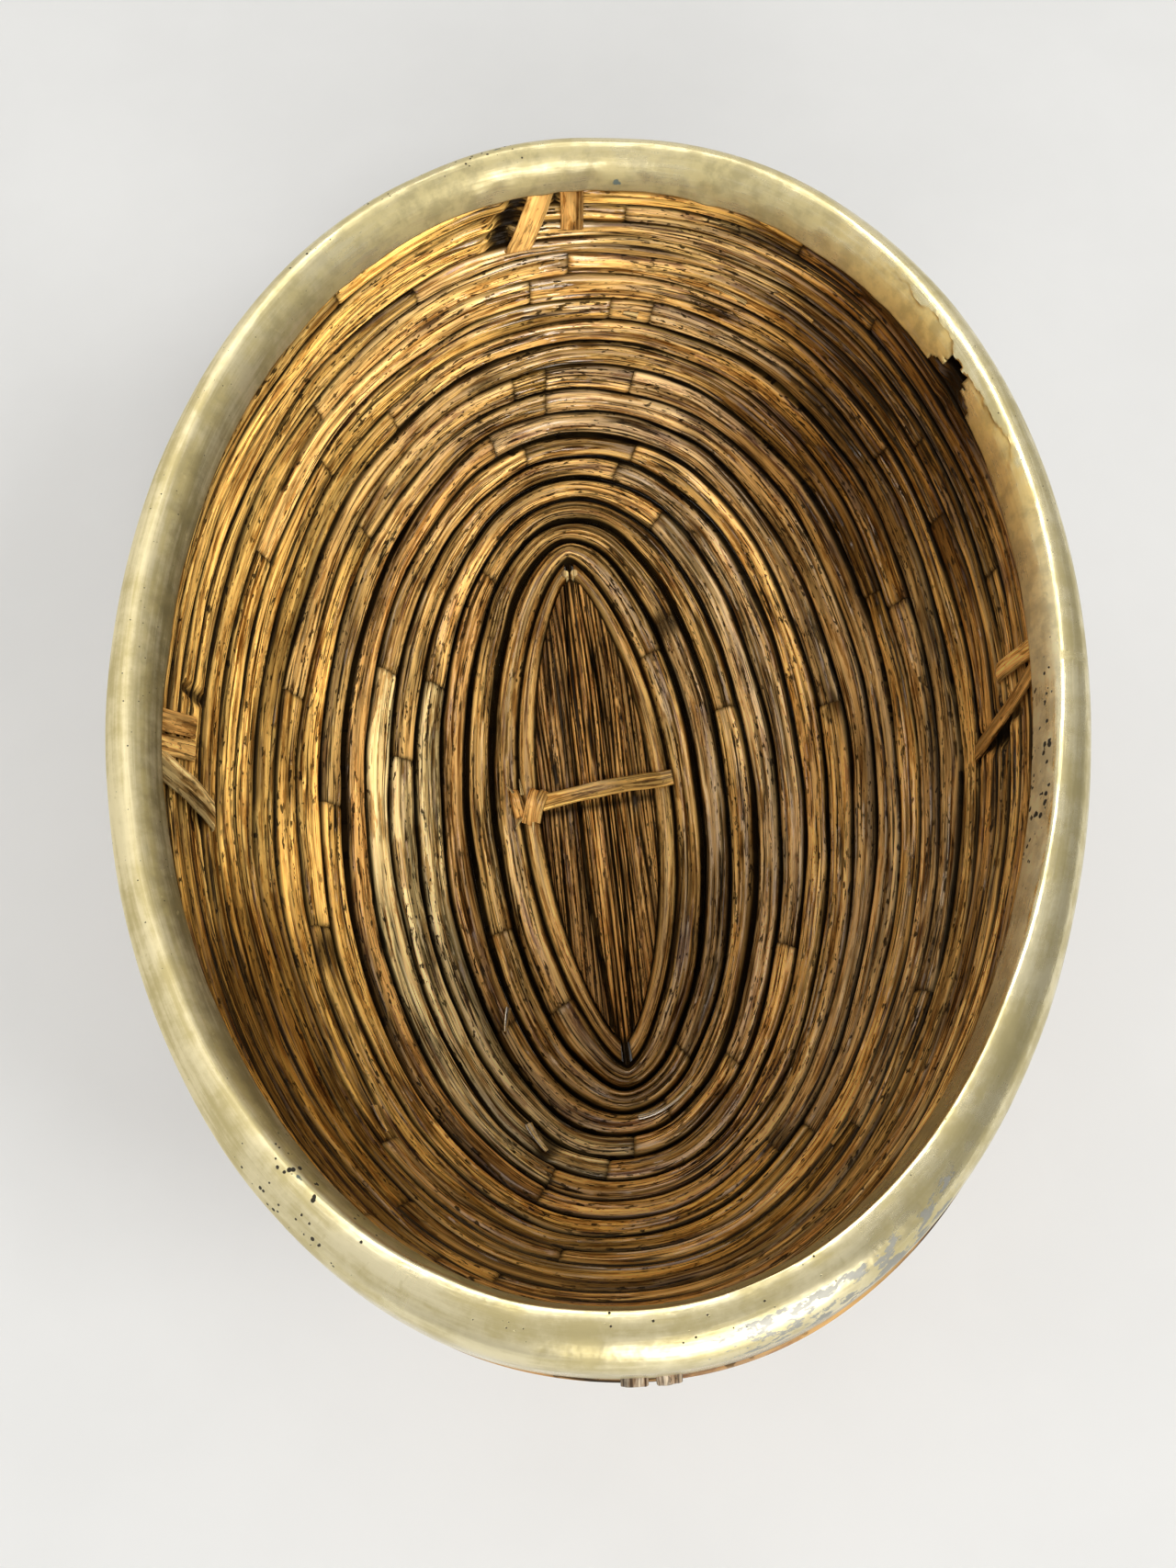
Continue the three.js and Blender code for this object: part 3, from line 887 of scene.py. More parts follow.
@dataclass
class Band:
    """A split-cane band that follows a path."""

    half: float
    thick: float
    tone: Tone
    seed: int
    taper: float = 0.0
    sections: int = 24
    spacing: float = 0.7
    fewest: int = 8
    edge_power: float = 0.75
    crown_power: float = 0.6
    back_power: float = 0.5
    fray: Wave = Wave(0.07, 7)
    ridges: Grain = Grain(0.16, 0.7, 22)
    patches: Wave = Wave(0.15, 12, 6.6)
    dirt: Grain = Grain(0.3, 5, 2)
    edge_share: float = 0.9
    seed_step: float = 0.31

    def lay(self, piece: Piece, path: Array, lift: Array) -> None:
        """Lays the band.

        Args:
            piece: Where it goes.
            path: Points of its underside's middle, in order.
            lift: Direction away from what it lies on, at each point.
        """
        ripple = Ripple(self.seed)
        steps = lengths_along(path)
        blank = Blank(self.sections, max(self.fewest, int(steps[-1] / self.spacing)))
        share, turn = blank.places()
        along = share * steps[-1]

        def read(rows: Array) -> Array:
            """Reads rows of the path at each point of the band."""
            return np.stack([np.interp(along, steps, rows[:, k]) for k in range(3)], axis=-1)

        ahead = read(np.gradient(path, axis=0))
        sideways = unit(np.cross(ahead, read(lift)))
        up = unit(np.cross(sideways, ahead))
        c, s = np.cos(turn), np.sin(turn)
        width = self.half * (1 + self.fray.read(ripple, along)) * (1 - self.taper * share)
        across = width * squared_off(c, self.edge_power)
        half_thick = self.thick / 2
        crown = half_thick * (1 + np.abs(s) ** self.crown_power)
        crown = crown + self.ridges.read(ripple, across, along) * s
        height = np.where(s > 0, crown, half_thick * (1 - np.abs(s) ** self.back_power))
        points = read(path) + sideways * across[:, None] + up * height[:, None]
        stain = np.clip(self.dirt.read(ripple, along, across), 0, 1)
        piece.add(blank.mesh, points, along=along * MM + self.seed, across=c * self.edge_share, gloss=1.0,
                  seed=self.seed * self.seed_step, stain=stain,
                  tint=shaded(self.tone, 1 + self.patches.read(ripple, along)))


@dataclass
class Coil:
    """The coiled wall: every course is spliced from half-round strips."""

    bowl: Bowl
    material: bpy.types.Material
    sections: int = 40
    fewest: int = 6
    face_share: float = 0.75
    spacing: float = 1.4
    overlap: float = 0.1
    seam: float = 0.3
    tuck: float = 0.05
    first_tuck: float = 0.8
    fray: float = 0.28
    flat_fray: float = 0.15
    top_fray: Wave = Wave(1.0, 11, 3.3)
    foot_fray: Wave = Wave(1.0, 13, 9.3)
    stray: float = 1.1
    stray_least: float = 0.3
    stray_growth: float = 0.07
    stray_waves: tuple[tuple[float, int], ...] = ((0.5, 3), (0.45, 7), (0.35, 13))
    stray_seed: int = 900
    flat_courses: Span = (3, 12)
    lower_dome: float = 3.3
    upper_dome: float = 1.6
    swell: Wave = Wave(0.08, 26, 11.1)
    bend: float = 0.64
    flat_bend: float = 0.16
    far_bend: float = 0.18
    back_bend: float = 0.4
    face_power: float = 0.9
    far_middle: float = 98
    far_reach: float = 44
    far_round: float = 0.8
    shingle: float = 0.12
    end_blunt: float = 0.08
    end_reach: float = 0.6
    end_dark: float = 0.8
    end_stain: Span = (0.5, 1.2)
    fibre: Grain = Grain(0.14, 0.5, 55)
    fibre_stray: Wave = Wave(0.6, 60, 2.2)
    ridges: Grain = Grain(0.4, 1.7, 42, 9)
    lumps: Grain = Grain(0.22, 15, 5)
    tilt: Wave = Wave(0.05, 48, 17.7)
    sink: float = 0.25
    back_grain: Grain = Grain(0.1, 1.6, 50)
    splits: int = 6
    split_width: float = 0.34
    split_depth: float = 0.9
    # Split grooves are darkened with painted shade.
    split_shade: float = 0.85
    split_spread: float = 0.75
    split_stray: float = 0.9
    split_stray_length: float = 44
    split_length: float = 30
    split_open: Span = (0.05, 0.45)
    spot_radius: float = 140
    spot_edge: Grain = Grain(0.45, 0.9, 30, 40)
    spot_fibre: Grain = Grain(1.0, 0.8, 14)
    spot_open: Span = (-0.5, 0.25)
    merge: float = 0.13
    merge_length: float = 45
    merge_open: Span = (0.1, 0.6)
    # Outside faces are darker: partly an older, dustier outside, partly painted shade.
    outside_dust_and_shade: float = 0.55
    own_tint: float = 0.3
    drift: Wave = Wave(0.34, 70, 21.5)
    patches: Wave = Wave(0.16, 22, 5.5)
    tint_span: Span = (0.5, 1.24)
    # Darker sides of the wall: partly old varnish, partly painted shade.
    dark_varnish_and_shade_stray: Wave = Wave(0.12, 30, 44.4)
    dark_varnish_and_shade_hue: Colour = (1.0, 1.2, 1.6)
    gloss_least: float = 0.2
    gloss_start: Span = (3, 8)
    gloss_stop: Span = (19, 16)
    flake_thick: float = 0.7
    flake_taper: float = 0.45
    flake_lift: float = 0.1
    flake_curl: float = 0.5
    flake_turn: float = 0.3
    flake_points: int = 30
    flake_seed: int = 700
    seed_step: float = 0.173
    grain_step: float = 0.37
    strips: dict[int, tuple[tuple[float, Tone], ...]] = field(default_factory=lambda: {
        1: ((32, Tone.TAN), (228, Tone.TAN)),
        2: ((38, Tone.TAN), (206, Tone.TAN), (300, Tone.GREY)),
        3: ((14, Tone.TAN), (130, Tone.BROWN), (224, Tone.TAN), (285, Tone.TAN)),
        4: ((60, Tone.TAN), (159, Tone.STRAW), (272, Tone.TAN), (308, Tone.GREY)),
        5: ((78, Tone.TAN), (174, Tone.STRAW), (266, Tone.TAN), (332, Tone.GREY)),
        6: ((75, Tone.TAN), (104, Tone.TAN), (161, Tone.STRAW), (254, Tone.TAN)),
        7: ((9, Tone.GREY), (112, Tone.BROWN), (254, Tone.TAN)),
        8: ((98, Tone.TAN), (184, Tone.GOLDEN), (302, Tone.GREY)),
        9: ((81, Tone.TAN), (98, Tone.GOLDEN), (105, Tone.TAN), (145, Tone.GOLDEN), (201, Tone.GOLDEN),
            (308, Tone.GREY)),
        10: ((21, Tone.TAN), (172, Tone.GOLDEN), (231, Tone.TAN), (262, Tone.TAN)),
        11: ((18, Tone.TAN), (130, Tone.GOLDEN), (312, Tone.GREY)),
        12: ((81, Tone.TAN), (88, Tone.GOLDEN), (144, Tone.GOLDEN), (240, Tone.TAN), (330, Tone.GREY)),
        13: ((36, Tone.TAN), (101, Tone.TAN), (160, Tone.GOLDEN), (256, Tone.TAN)),
        14: ((24, Tone.TAN), (95, Tone.TAN), (141, Tone.GOLDEN), (249, Tone.BROWN)),
        15: ((33, Tone.TAN), (120, Tone.GOLDEN), (240, Tone.TAN)),
        16: ((14, Tone.TAN), (104, Tone.GOLDEN), (262, Tone.TAN)),
        17: ((48, Tone.TAN), (88, Tone.GOLDEN), (190, Tone.GOLDEN), (250, Tone.BROWN)),
        18: ((62, Tone.GOLDEN), (132, Tone.GOLDEN), (236, Tone.BROWN)),
        19: ((20, Tone.BROWN), (200, Tone.BROWN)),
    })
    # Spots with a depth are hollows whose darkness is painted shade.
    spots: tuple[Spot, ...] = (
        Spot(9, 204, 7, 0.8), Spot(4, 157, 7, 0.55), Spot(4, 308, 6, 0.8), Spot(6, 160, 4, 0.5),
        Spot(8, 303, 10, 0.7), Spot(9, 147, 6, 0.55), Spot(2, 37, 9, 0.8, 0.6), Spot(7, 9, 6, 0.75),
        Spot(10, 22, 11, 0.7), Spot(11, 126, 12, 0.55), Spot(3, 222, 6, 0.7), Spot(5, 250, 8, 0.9, 1.2),
        Spot(12, 140, 14, 0.6), Spot(14, 87, 5, 0.55), Spot(11, 308, 14, 0.7), Spot(13, 116, 10, 0.5),
        Spot(6, 64, 14, 0.75), Spot(7, 78, 16, 0.75), Spot(10, 110, 14, 0.7), Spot(14, 42, 12, 0.6),
        Spot(8, 62, 12, 0.6), Spot(9, 52, 10, 0.6), Spot(12, 46, 14, 0.6), Spot(13, 212, 10, 0.5),
        Spot(10, 212, 12, 0.6), Spot(11, 222, 12, 0.6), Spot(8, 330, 12, 0.5), Spot(12, 12, 10, 0.6),
        Spot(13, 350, 12, 0.6), Spot(15, 30, 10, 0.6), Spot(14, 352, 8, 0.6), Spot(6, 290, 9, 0.6),
        Spot(16, 105.2, 6.5, 1.0, 3.8), Spot(17, 104.0, 6.5, 1.0, 3.8), Spot(18, 102.7, 4.5, 1.0, 3.4),
        Spot(18, 97.3, 1.8, 1.0, 2.5), Spot(15, 357.6, 4.0, 1.0, 3.2), Spot(14, 356.9, 3.0, 1.0, 2.5),
        Spot(16, 358.8, 2.5, 0.9, 2.0), Spot(15, 180.4, 2.2, 0.9, 1.5), Spot(16, 180.6, 1.8, 0.9, 1.5),
        Spot(15, 192.5, 4.0, 0.7, 0.8), Spot(18, 34, 2.5, 0.45, 0.7), Spot(19, 34, 5, 0.9, 1.8),
    )
    wide_gaps: tuple[Gap, ...] = (
        Gap(1, 1.7, 1.1, 140), Gap(1, 1.2, 0.8, 350), Gap(2, 1.3, 0.9, 60), Gap(2, 1.1, 0.7, 190),
        Gap(7, 1.7, 0.8, 170), Gap(10, 1.4, 0.55, 118), Gap(5, 1.1, 0.6, 45), Gap(9, 1.2, 0.5, 30),
        Gap(12, 1.2, 0.5, 345), Gap(4, 1.0, 0.7, 100), Gap(3, 1.0, 0.8, 330), Gap(8, 1.0, 0.5, 290),
        Gap(6, 1.1, 0.5, 95), Gap(11, 1.0, 0.4, 60), Gap(13, 0.9, 0.4, 20),
    )
    # Sides darkened partly by old varnish and partly as painted shade.
    dark_varnish_and_shade_sides: tuple[DarkVarnishAndShade, ...] = (
        DarkVarnishAndShade(40, 26, 5, 10, 0.73), DarkVarnishAndShade(222, 24, 8, 12, 0.64),
        DarkVarnishAndShade(12, 18, 3, 8, 0.25), DarkVarnishAndShade(275, 45, 2, 6, 0.14),
    )
    chips: tuple[Chip, ...] = (
        Chip(5, 248, 11, 3.2, Tone.STRAW, 0.5), Chip(3, 224.5, 7, 2.2, Tone.STRAW, 0.8),
        Chip(12, 84, 6, 3.4, Tone.STRAW, 0.2), Chip(3, 284, 24, 2.2, Tone.STRAW, 0.12),
        Chip(10, 229, 10, 2.6, Tone.TAN, 0.3), Chip(11, 310, 14, 2.2, Tone.TAN, 0.2),
        Chip(14, 70, 16, 1.8, Tone.STRAW, 0.12), Chip(15, 60, 18, 1.6, Tone.TAN, 0.1),
    )

    def build(self) -> None:
        """Makes every course of the wall."""
        for course in sorted(self.strips):
            self.course(course)

    def gap(self, course: int, angle: Array) -> Array:
        """Extra width of the dark gap above a course, in millimetres."""
        gaps = [gap for gap in self.wide_gaps if gap.below == course]
        return sum((g.width * hump(turn_from(angle, g.middle), g.reach) for g in gaps), np.zeros_like(angle))

    def wander(self, course: int, angle: Array) -> Array:
        """How far the edge above a course strays along the wall.

        Args:
            course: Number of the course below the edge.
            angle: Angles round the bowl.

        Returns:
            Distance in millimetres.
        """
        if course in (0, max(self.strips)):
            return np.zeros_like(angle)
        phases = TURN * Ripple(self.stray_seed + course).table[0]
        size = self.stray * min(1.0, self.stray_least + self.stray_growth * course)
        return size * sum(share * np.sin(count * angle + phase)
                          for (share, count), phase in zip(self.stray_waves, phases))

    def risen(self, course: int, low: float, high: float) -> float:
        """How far a change from one course to another has come, from 0 to 1."""
        return float(smooth_step(low, high, np.array(float(course))))

    def dark_varnish_and_shade(self, course: int, angle: Array) -> Array:
        """How much darker the wall is, partly old varnish and partly painted shade, from 0 to 1.

        Args:
            course: Number of the course.
            angle: Angles round the bowl.

        Returns:
            Share of the colour that is lost.
        """
        lost = np.zeros_like(angle)
        for side in self.dark_varnish_and_shade_sides:
            turn = np.degrees(turn_from(angle, side.middle))
            share = side.share * self.risen(course, side.low, side.high)
            lost = np.maximum(lost, share * plateau(turn, side.reach))
        return lost

    def far(self, angle: Array) -> Array:
        """How near an angle is to the far side, from 0 to 1."""
        return plateau(np.degrees(turn_from(angle, self.far_middle)), self.far_reach)

    def gloss(self, course: int, angle: Array) -> Array:
        """Share of the varnish that is left on a course, most on the far side."""
        rise = self.risen(course, *self.gloss_start) * self.risen(course, *self.gloss_stop)
        return self.gloss_least + (1 - self.gloss_least) * rise * self.far(angle)

    def course(self, course: int) -> None:
        """Makes one course.

        Args:
            course: Number of the course.
        """
        slot = "golden_cane" if course % 2 else "brown_cane"
        piece = Piece(f"cane_course_{course:02d}", slot, (f"rush_course_{course:02d}",))
        starts = [math.radians(start) for start, _ in self.strips[course]]
        for i, (_, tone) in enumerate(self.strips[course]):
            end = starts[i + 1] if i + 1 < len(starts) else starts[0] + TURN
            self.strip(piece, course, i, starts[i], end, tone)
        for i, chip in enumerate(self.chips):
            if chip.course == course:
                self.flake(piece, chip, self.flake_seed + i)
        piece.finish(self.material)

    def flake(self, piece: Piece, chip: Chip, seed: int) -> None:
        """Lays a loose flake on its course.

        Args:
            piece: The course's piece.
            chip: The flake.
            seed: Number that fixes its unevenness.
        """
        bowl, middle_angle = self.bowl, math.radians(chip.angle)
        middle = (bowl.course_top(chip.course - 1) + bowl.course_top(chip.course)) / 2
        lengths, angles = bowl.ring(middle, middle_angle - self.flake_turn, middle_angle + self.flake_turn)
        place = np.linspace(-chip.length / 2, chip.length / 2, self.flake_points)
        angle = np.interp(lengths[-1] / 2 + place, lengths, angles)
        arc = middle + chip.lean * place
        out = -bowl.half_cane - self.flake_lift - self.flake_curl * (place / chip.length + 0.5) ** 2
        path = bowl.place(arc, out, angle)
        lift = bowl.place(arc, out - 1, angle) - path
        Band(chip.width / 2, self.flake_thick, chip.tone, seed, self.flake_taper).lay(piece, path, lift)

    def breadth(self, course: int, ripple: Ripple, along: Array, angle: Array, front: Array,
                flat: Array) -> tuple[Array, Array]:
        """Where a strip's two long edges lie.

        Args:
            course: Number of the course.
            ripple: Unevenness of the strip.
            along: Length along the strip.
            angle: Angles round the bowl.
            front: Which points are on the inside of the bowl.
            flat: How flat the strip is, from 0 to 1.

        Returns:
            Half the strip's width, and its middle along the wall.
        """
        fray = self.fray * (1 - self.flat_fray * flat)
        inset = self.seam / 2 + fray
        top = inset + self.gap(course, angle) / 2 + fray * self.top_fray.read(ripple, along)
        foot = inset + self.gap(course - 1, angle) / 2 + fray * self.foot_fray.read(ripple, along)
        over = self.bowl.course_top(course) + self.wander(course, angle)
        under = self.bowl.course_top(course - 1) + self.wander(course - 1, angle)
        top = np.where(front, over - top, over + self.tuck)
        foot = np.where(front, under + foot, under - (self.tuck if course > 1 else self.first_tuck))
        return (top - foot) / 2, (top + foot) / 2

    def relief(self, ripple: Ripple, along: Array, across: Array, half: Array) -> tuple[Array, Array]:
        """Fibre, lumps and splits of a strip's face.

        Args:
            ripple: Unevenness of the strip.
            along: Length along the strip.
            across: Place across it.
            half: Half its width.

        Returns:
            Depth in millimetres, and how open a split is, from 0 to 1.
        """
        depth = self.fibre.read(ripple, across + self.fibre_stray.read(ripple, along), along)
        depth += self.ridges.read(ripple, across, along) + self.lumps.read(ripple, along, across)
        depth += across * self.tilt.read(ripple, along) + self.sink * ripple.table[1, 1]
        groove = np.zeros(len(along))
        for k in range(self.splits):
            sway = self.split_stray * ripple.at(along / self.split_stray_length, 30 + k)
            middle = self.split_spread * half * ripple.table[2, k] + sway
            opened = smooth_step(*self.split_open, ripple.at(along / self.split_length, 50 + 3 * k))
            groove = np.maximum(groove, opened * hump(across - middle, self.split_width))
        return depth + self.split_depth * groove, groove

    def marks(self, course: int, ripple: Ripple, along: Array, across: Array,
              angle: Array) -> tuple[Array, Array]:
        """Stains, and hollows darkened with painted shade, that show in the photograph.

        Args:
            course: Number of the course.
            ripple: Unevenness of the strip.
            along: Length along the strip.
            across: Place across it.
            angle: Angles round the bowl.

        Returns:
            Darkness from 0 to 1, and depth in millimetres.
        """
        dark, depth = np.zeros(len(along)), np.zeros(len(along))
        for spot in self.spots:
            if spot.course == course:
                place = turn_from(angle, spot.angle) * self.spot_radius
                mark = plateau(place / spot.length, 1 + self.spot_edge.read(ripple, across, along))
                if not spot.depth:
                    mark = mark * smooth_step(*self.spot_open, self.spot_fibre.read(ripple, across, along))
                dark = np.maximum(dark, spot.dark * mark)
                depth = depth + spot.depth * mark
        return dark, depth

    def tint(self, course: int, ripple: Ripple, tone: Tone, along: Array, angle: Array) -> Array:
        """Uneven colour of a strip, darker on some sides partly as painted shade.

        Args:
            course: Number of the course.
            ripple: Unevenness of the strip.
            tone: Its colour.
            along: Length along the strip.
            angle: Angles round the bowl.

        Returns:
            Colour at each point.
        """
        own = 1 + self.own_tint * float(ripple.table[5, 5])
        level = own * (1 + self.drift.read(ripple, along) + self.patches.read(ripple, along))
        # Darker sides: partly old varnish, partly painted shade.
        lost = self.dark_varnish_and_shade(course, angle + self.dark_varnish_and_shade_stray.read(ripple, along))
        tint = np.array(tone.value) * np.clip(level, *self.tint_span)[:, None]
        return tint * (1 - lost)[:, None] ** np.array(self.dark_varnish_and_shade_hue)

    def strip(self, piece: Piece, course: int, order: int, start: float, end: float,
              tone: Tone) -> None:
        """Bends one strip into its course.

        Args:
            piece: The course's piece.
            course: Number of the course.
            order: Number of the strip in the course.
            start: Angle where it starts.
            end: Angle where it ends.
            tone: Its colour.
        """
        bowl, seed = self.bowl, course * 10 + order
        ripple = Ripple(seed)
        lengths, angles = bowl.ring((bowl.course_top(course - 1) + bowl.course_top(course)) / 2, start, end)
        length = lengths[-1] + self.overlap
        blank = Blank(self.sections, max(self.fewest, int(length / self.spacing)), self.face_share)
        share, turn = blank.places()
        along = share * length - self.overlap / 2
        from_end = np.minimum(share, 1 - share) * length
        angle = np.interp(along, lengths, angles)
        c, s = np.cos(turn), np.sin(turn)
        front, far = s >= 0, self.far(angle)
        flat = self.risen(course, *self.flat_courses) * (1 - self.far_round * far)
        half, middle = self.breadth(course, ripple, along, angle, front, flat)
        blunt = 1 - self.end_blunt * np.exp(-from_end / self.end_reach)
        across = half * squared_off(c, self.face_power) * np.where(front, blunt, 1)
        depth, groove = self.relief(ripple, along, across, half)
        dome = self.lower_dome + (self.upper_dome - self.lower_dome) * flat
        dome = dome * (1 + self.swell.read(ripple, along))
        edge = dome - bowl.half_cane
        bend = self.bend - self.flat_bend * flat + self.far_bend * far
        inside = edge - dome * np.abs(s) ** bend + depth * np.sqrt(np.clip(s, 0, 1))
        inside = inside + self.shingle * far * across
        back = edge + (bowl.half_cane - edge) * np.abs(s) ** self.back_bend
        back = back + self.back_grain.read(ripple, across, along)
        # Hollow spots are darkened with painted shade.
        dark, hollow = self.marks(course, ripple, along, across, angle)
        out = np.where(front, inside * blunt + hollow * s, np.minimum(back, bowl.half_cane))
        # Dark joints at the strip's ends, and painted shade in the split grooves.
        joint = self.end_stain[0] + self.end_stain[1] * abs(ripple.table[0, 0])
        stain = np.maximum(self.end_dark * np.exp(-from_end / joint), self.split_shade * groove)
        sides = ripple.at(along / self.merge_length, np.sign(across) * 2 + 70.5)
        merged = 1 - self.merge * flat * smooth_step(*self.merge_open, sides)
        # Outside faces darker, partly as painted shade.
        tint = self.tint(course, ripple, tone, along, angle) * np.where(front, 1, self.outside_dust_and_shade)[:, None]
        piece.add(blank.mesh, bowl.place(middle + across, out, angle),
                  along=along * MM + seed * self.grain_step, across=across / half * merged,
                  seed=seed * self.seed_step, gloss=self.gloss(course, angle),
                  stain=np.clip(np.maximum(stain, dark), 0, 1), tint=opaque(tint))


@dataclass
class Centre:
    """The pointed centre of the floor: splints, edge reeds, the tie and its knot."""

    bowl: Bowl
    splint_material: bpy.types.Material
    reed_material: bpy.types.Material
    thickness: float = 5.4
    reed_width: float = 7
    tip_inset: float = 8
    seam: float = 0.5
    middle_width: float = 13
    middle_taper: float = 0.55
    middle_span: Span = (30, 95)
    middle_overrun: float = 9
    middle_sway: Wave = Wave(0.25, 40)
    splint_end: float = 3.4
    splint_sections: int = 90
    splint_spacing: float = 1.2
    splint_face: float = 0.85
    splint_sharp: float = 60
    splint_seed: int = 300
    end_gap: float = 0.6
    edge_power: float = 0.7
    back_spread: float = 0.9
    back_lap: float = 1.1
    left_parting: Triple = (1.5, 40, -50)
    right_parting: Triple = (0.5, 20, -70)
    grain_pitch: float = 1.8
    grain_sway: Grain = Grain(0.5, 45, 4)
    grain_jitter: Grain = Grain(0.35, 1.1, 200)
    grain_power: float = 1.2
    grain_depth: float = 1.7
    grain_lengths: Span = (7.3, 26)
    crown_fall: float = 0.25
    crown_lumps: Grain = Grain(0.15, 25, 5)
    fibre: Grain = Grain(0.12, 0.4, 30)
    tip_fall: float = 0.6
    splint_tint: float = 1.06
    splint_patches: Grain = Grain(0.37, 1.3, 50)
    cut_span: Span = (0.09, 0.36)
    edge_span: Span = (0.93, 1)
    edge_shade: float = 0.8
    grain_across: float = 5
    splint_grain: float = 3.1
    tie_shadow: Triple = (4.6, 1.7, 0.75)
    reed_sections: int = 28
    reed_stations: int = 190
    reed_seed: int = 320
    reed_edge: float = 2.2
    reed_tint: float = 0.77
    reed_patches: Wave = Wave(0.2, 30, 4.4)
    reed_lumps: Wave = Wave(0.2, 16)
    reed_ridges: Grain = Grain(0.12, 0.25, 40)
    reed_end_dark: float = 0.5
    reed_end_fall: float = 40
    reed_grain: float = 7.7
    bead_radius: float = 1.5
    bead_gap: float = 0.4
    bead_ahead: float = 1.2
    bead_sections: int = 16
    bead_stations: int = 5
    bead_grain: float = 9.1
    reed_stop: float = math.radians(81)
    tie_lean: float = math.radians(12)
    tie_width: float = 6.6
    tie_thickness: float = 1
    tie_arch: float = 3.5
    tie_sway: Triple = (1.2, 10, 26)
    tie_points: int = 60
    tie_seed: int = 341
    knot_width: float = 11
    knot_half: float = 2.6
    knot_length: float = 13
    knot_shorter: float = 1.5
    knot_points: int = 40
    knot_seed: int = 350
    knot_turns: tuple[tuple[float, float, float, float, Tone], ...] = (
        (-1.5, -7.0, 70, 5.2, Tone.RUST), (1.2, -6.2, 62, 4.6, Tone.TAN), (-4.0, -3.6, 98, 4.0, Tone.RUST),
    )
    frayed_half: float = 0.8
    frayed_thick: float = 0.5
    frayed_points: int = 24
    frayed_seed: int = 360
    frayed_ends: tuple[Fit, ...] = (
        (-4.5, 3.5, 118, 7.0), (-2.0, 4.5, 92, 6.0), (0.5, -6.0, 262, 6.5), (-4.0, -5.0, 238, 5.0),
    )
    clearance: float = 0.3

    @property
    def reed_crown(self) -> float:
        """Distance of the reeds' crowns from the middle."""
        return (self.bowl.lens_width - self.reed_width) / 2

    @property
    def inner_half(self) -> float:
        """Half width of the space inside the reeds."""
        return self.bowl.lens_width / 2 - self.reed_width - self.seam

    @property
    def inner_tip(self) -> float:
        """Half length of the space inside the reeds."""
        return self.bowl.lens_length / 2 - self.tip_inset - self.seam

    def build(self) -> None:
        """Makes the whole centre."""
        self.splint("left", -1, Tone.UMBER, "dark_splint")
        self.splint("middle", 0, Tone.RUST, "red_splint")
        self.splint("right", 1, Tone.BROWN, "grey_splint")
        self.reed("left", -1)
        self.reed("right", 1)
        self.tie()
        self.knot()

    def middle_half(self, y: Array) -> Array:
        """Half width of the middle splint, which narrows towards both tips."""
        return self.middle_width / 2 * (1 - self.middle_taper * smooth_step(*self.middle_span, np.abs(y)))

    def breadth(self, side: int, y: Array, front: Array, ripple: Ripple) -> tuple[Array, Array]:
        """Where a splint's two long edges lie.

        Args:
            side: -1 left, 0 middle, 1 right.
            y: Place along the splint.
            front: Which points are on its face.
            ripple: Unevenness of the splint.

        Returns:
            Its middle across the basket, and half its width.
        """
        lens = self.inner_half * np.maximum(1 - (y / self.inner_tip) ** 2, 0) ** self.bowl.tip_roundness
        lens = lens + np.where(front, 0.0, self.back_spread)
        if not side:
            half = np.clip(lens, 1.2, self.middle_half(y) + np.where(front, -0.3, 0.8))
            return self.middle_sway.read(ripple, y), half
        width, start, stop = self.left_parting if side < 0 else self.right_parting
        lap = np.where(front, width * smooth_step(start, stop, y), -self.back_lap)
        inner = np.minimum(self.middle_half(y) + self.seam / 2 + lap, lens - 0.2)
        return side * (lens + inner) / 2, (lens - inner) / 2

    def open_grain(self, ripple: Ripple, across: Array, y: Array) -> Array:
        """How deep the open grain of a splint is cut, from 0 to 1.

        Args:
            ripple: Unevenness of the splint.
            across: Place across the basket.
            y: Place along the splint.

        Returns:
            Depth at each place.
        """
        phase = across / self.grain_pitch + self.grain_sway.read(ripple, y, across)
        phase = phase + self.grain_jitter.read(ripple, across, y)
        step, length = self.grain_lengths
        depth = 0.7 + 0.6 * ripple.at(np.floor(phase) * step, y / length)
        return (1 - np.abs(np.sin(np.pi * phase))) ** self.grain_power * np.clip(depth, 0.1, 1)

    def splint(self, name: str, side: int, tone: Tone, slot: str) -> None:
        """Makes one flat splint with open grain.

        Args:
            name: Which one.
            side: -1 left, 0 middle, 1 right.
            tone: Its colour.
            slot: Name of the record's material slot, kept on the piece but not used.
        """
        ripple = Ripple(self.splint_seed + side)
        piece = Piece(f"splint_{name}", slot, (f"centre_splint_{name}",))
        narrow = (self.splint_end / self.inner_half) ** (1 / self.bowl.tip_roundness)
        reach = self.inner_tip * math.sqrt(1 - narrow) if side else self.inner_tip + self.middle_overrun
        blank = Blank(self.splint_sections, int(2 * reach / self.splint_spacing), self.splint_face)
        share, turn = blank.places()
        y = (2 * share - 1) * (reach - self.end_gap)
        c, s = np.cos(turn), np.sin(turn)
        front, flat = s >= 0, squared_off(c, self.edge_power)
        middle, half = self.breadth(side, y, front, ripple)
        across = middle + half * flat
        cut = self.open_grain(ripple, across, y)
        tip, from_middle = self.inner_tip, np.abs(y)
        crown = self.thickness * (1 - self.crown_fall * np.abs(flat) ** 8)
        crown = crown - self.crown_lumps.size + self.crown_lumps.read(ripple, y, across)
        crown = crown - self.grain_depth * cut - self.fibre.size - self.fibre.read(ripple, across, y)
        crown = crown * (1 - self.tip_fall * smooth_step(tip - 4, tip, from_middle))
        z = np.where(front, np.clip(crown * np.clip(s * 12, 0.45, 1), 0, self.thickness), 0.0)
        level = self.splint_tint + self.splint_patches.read(ripple, across, y)
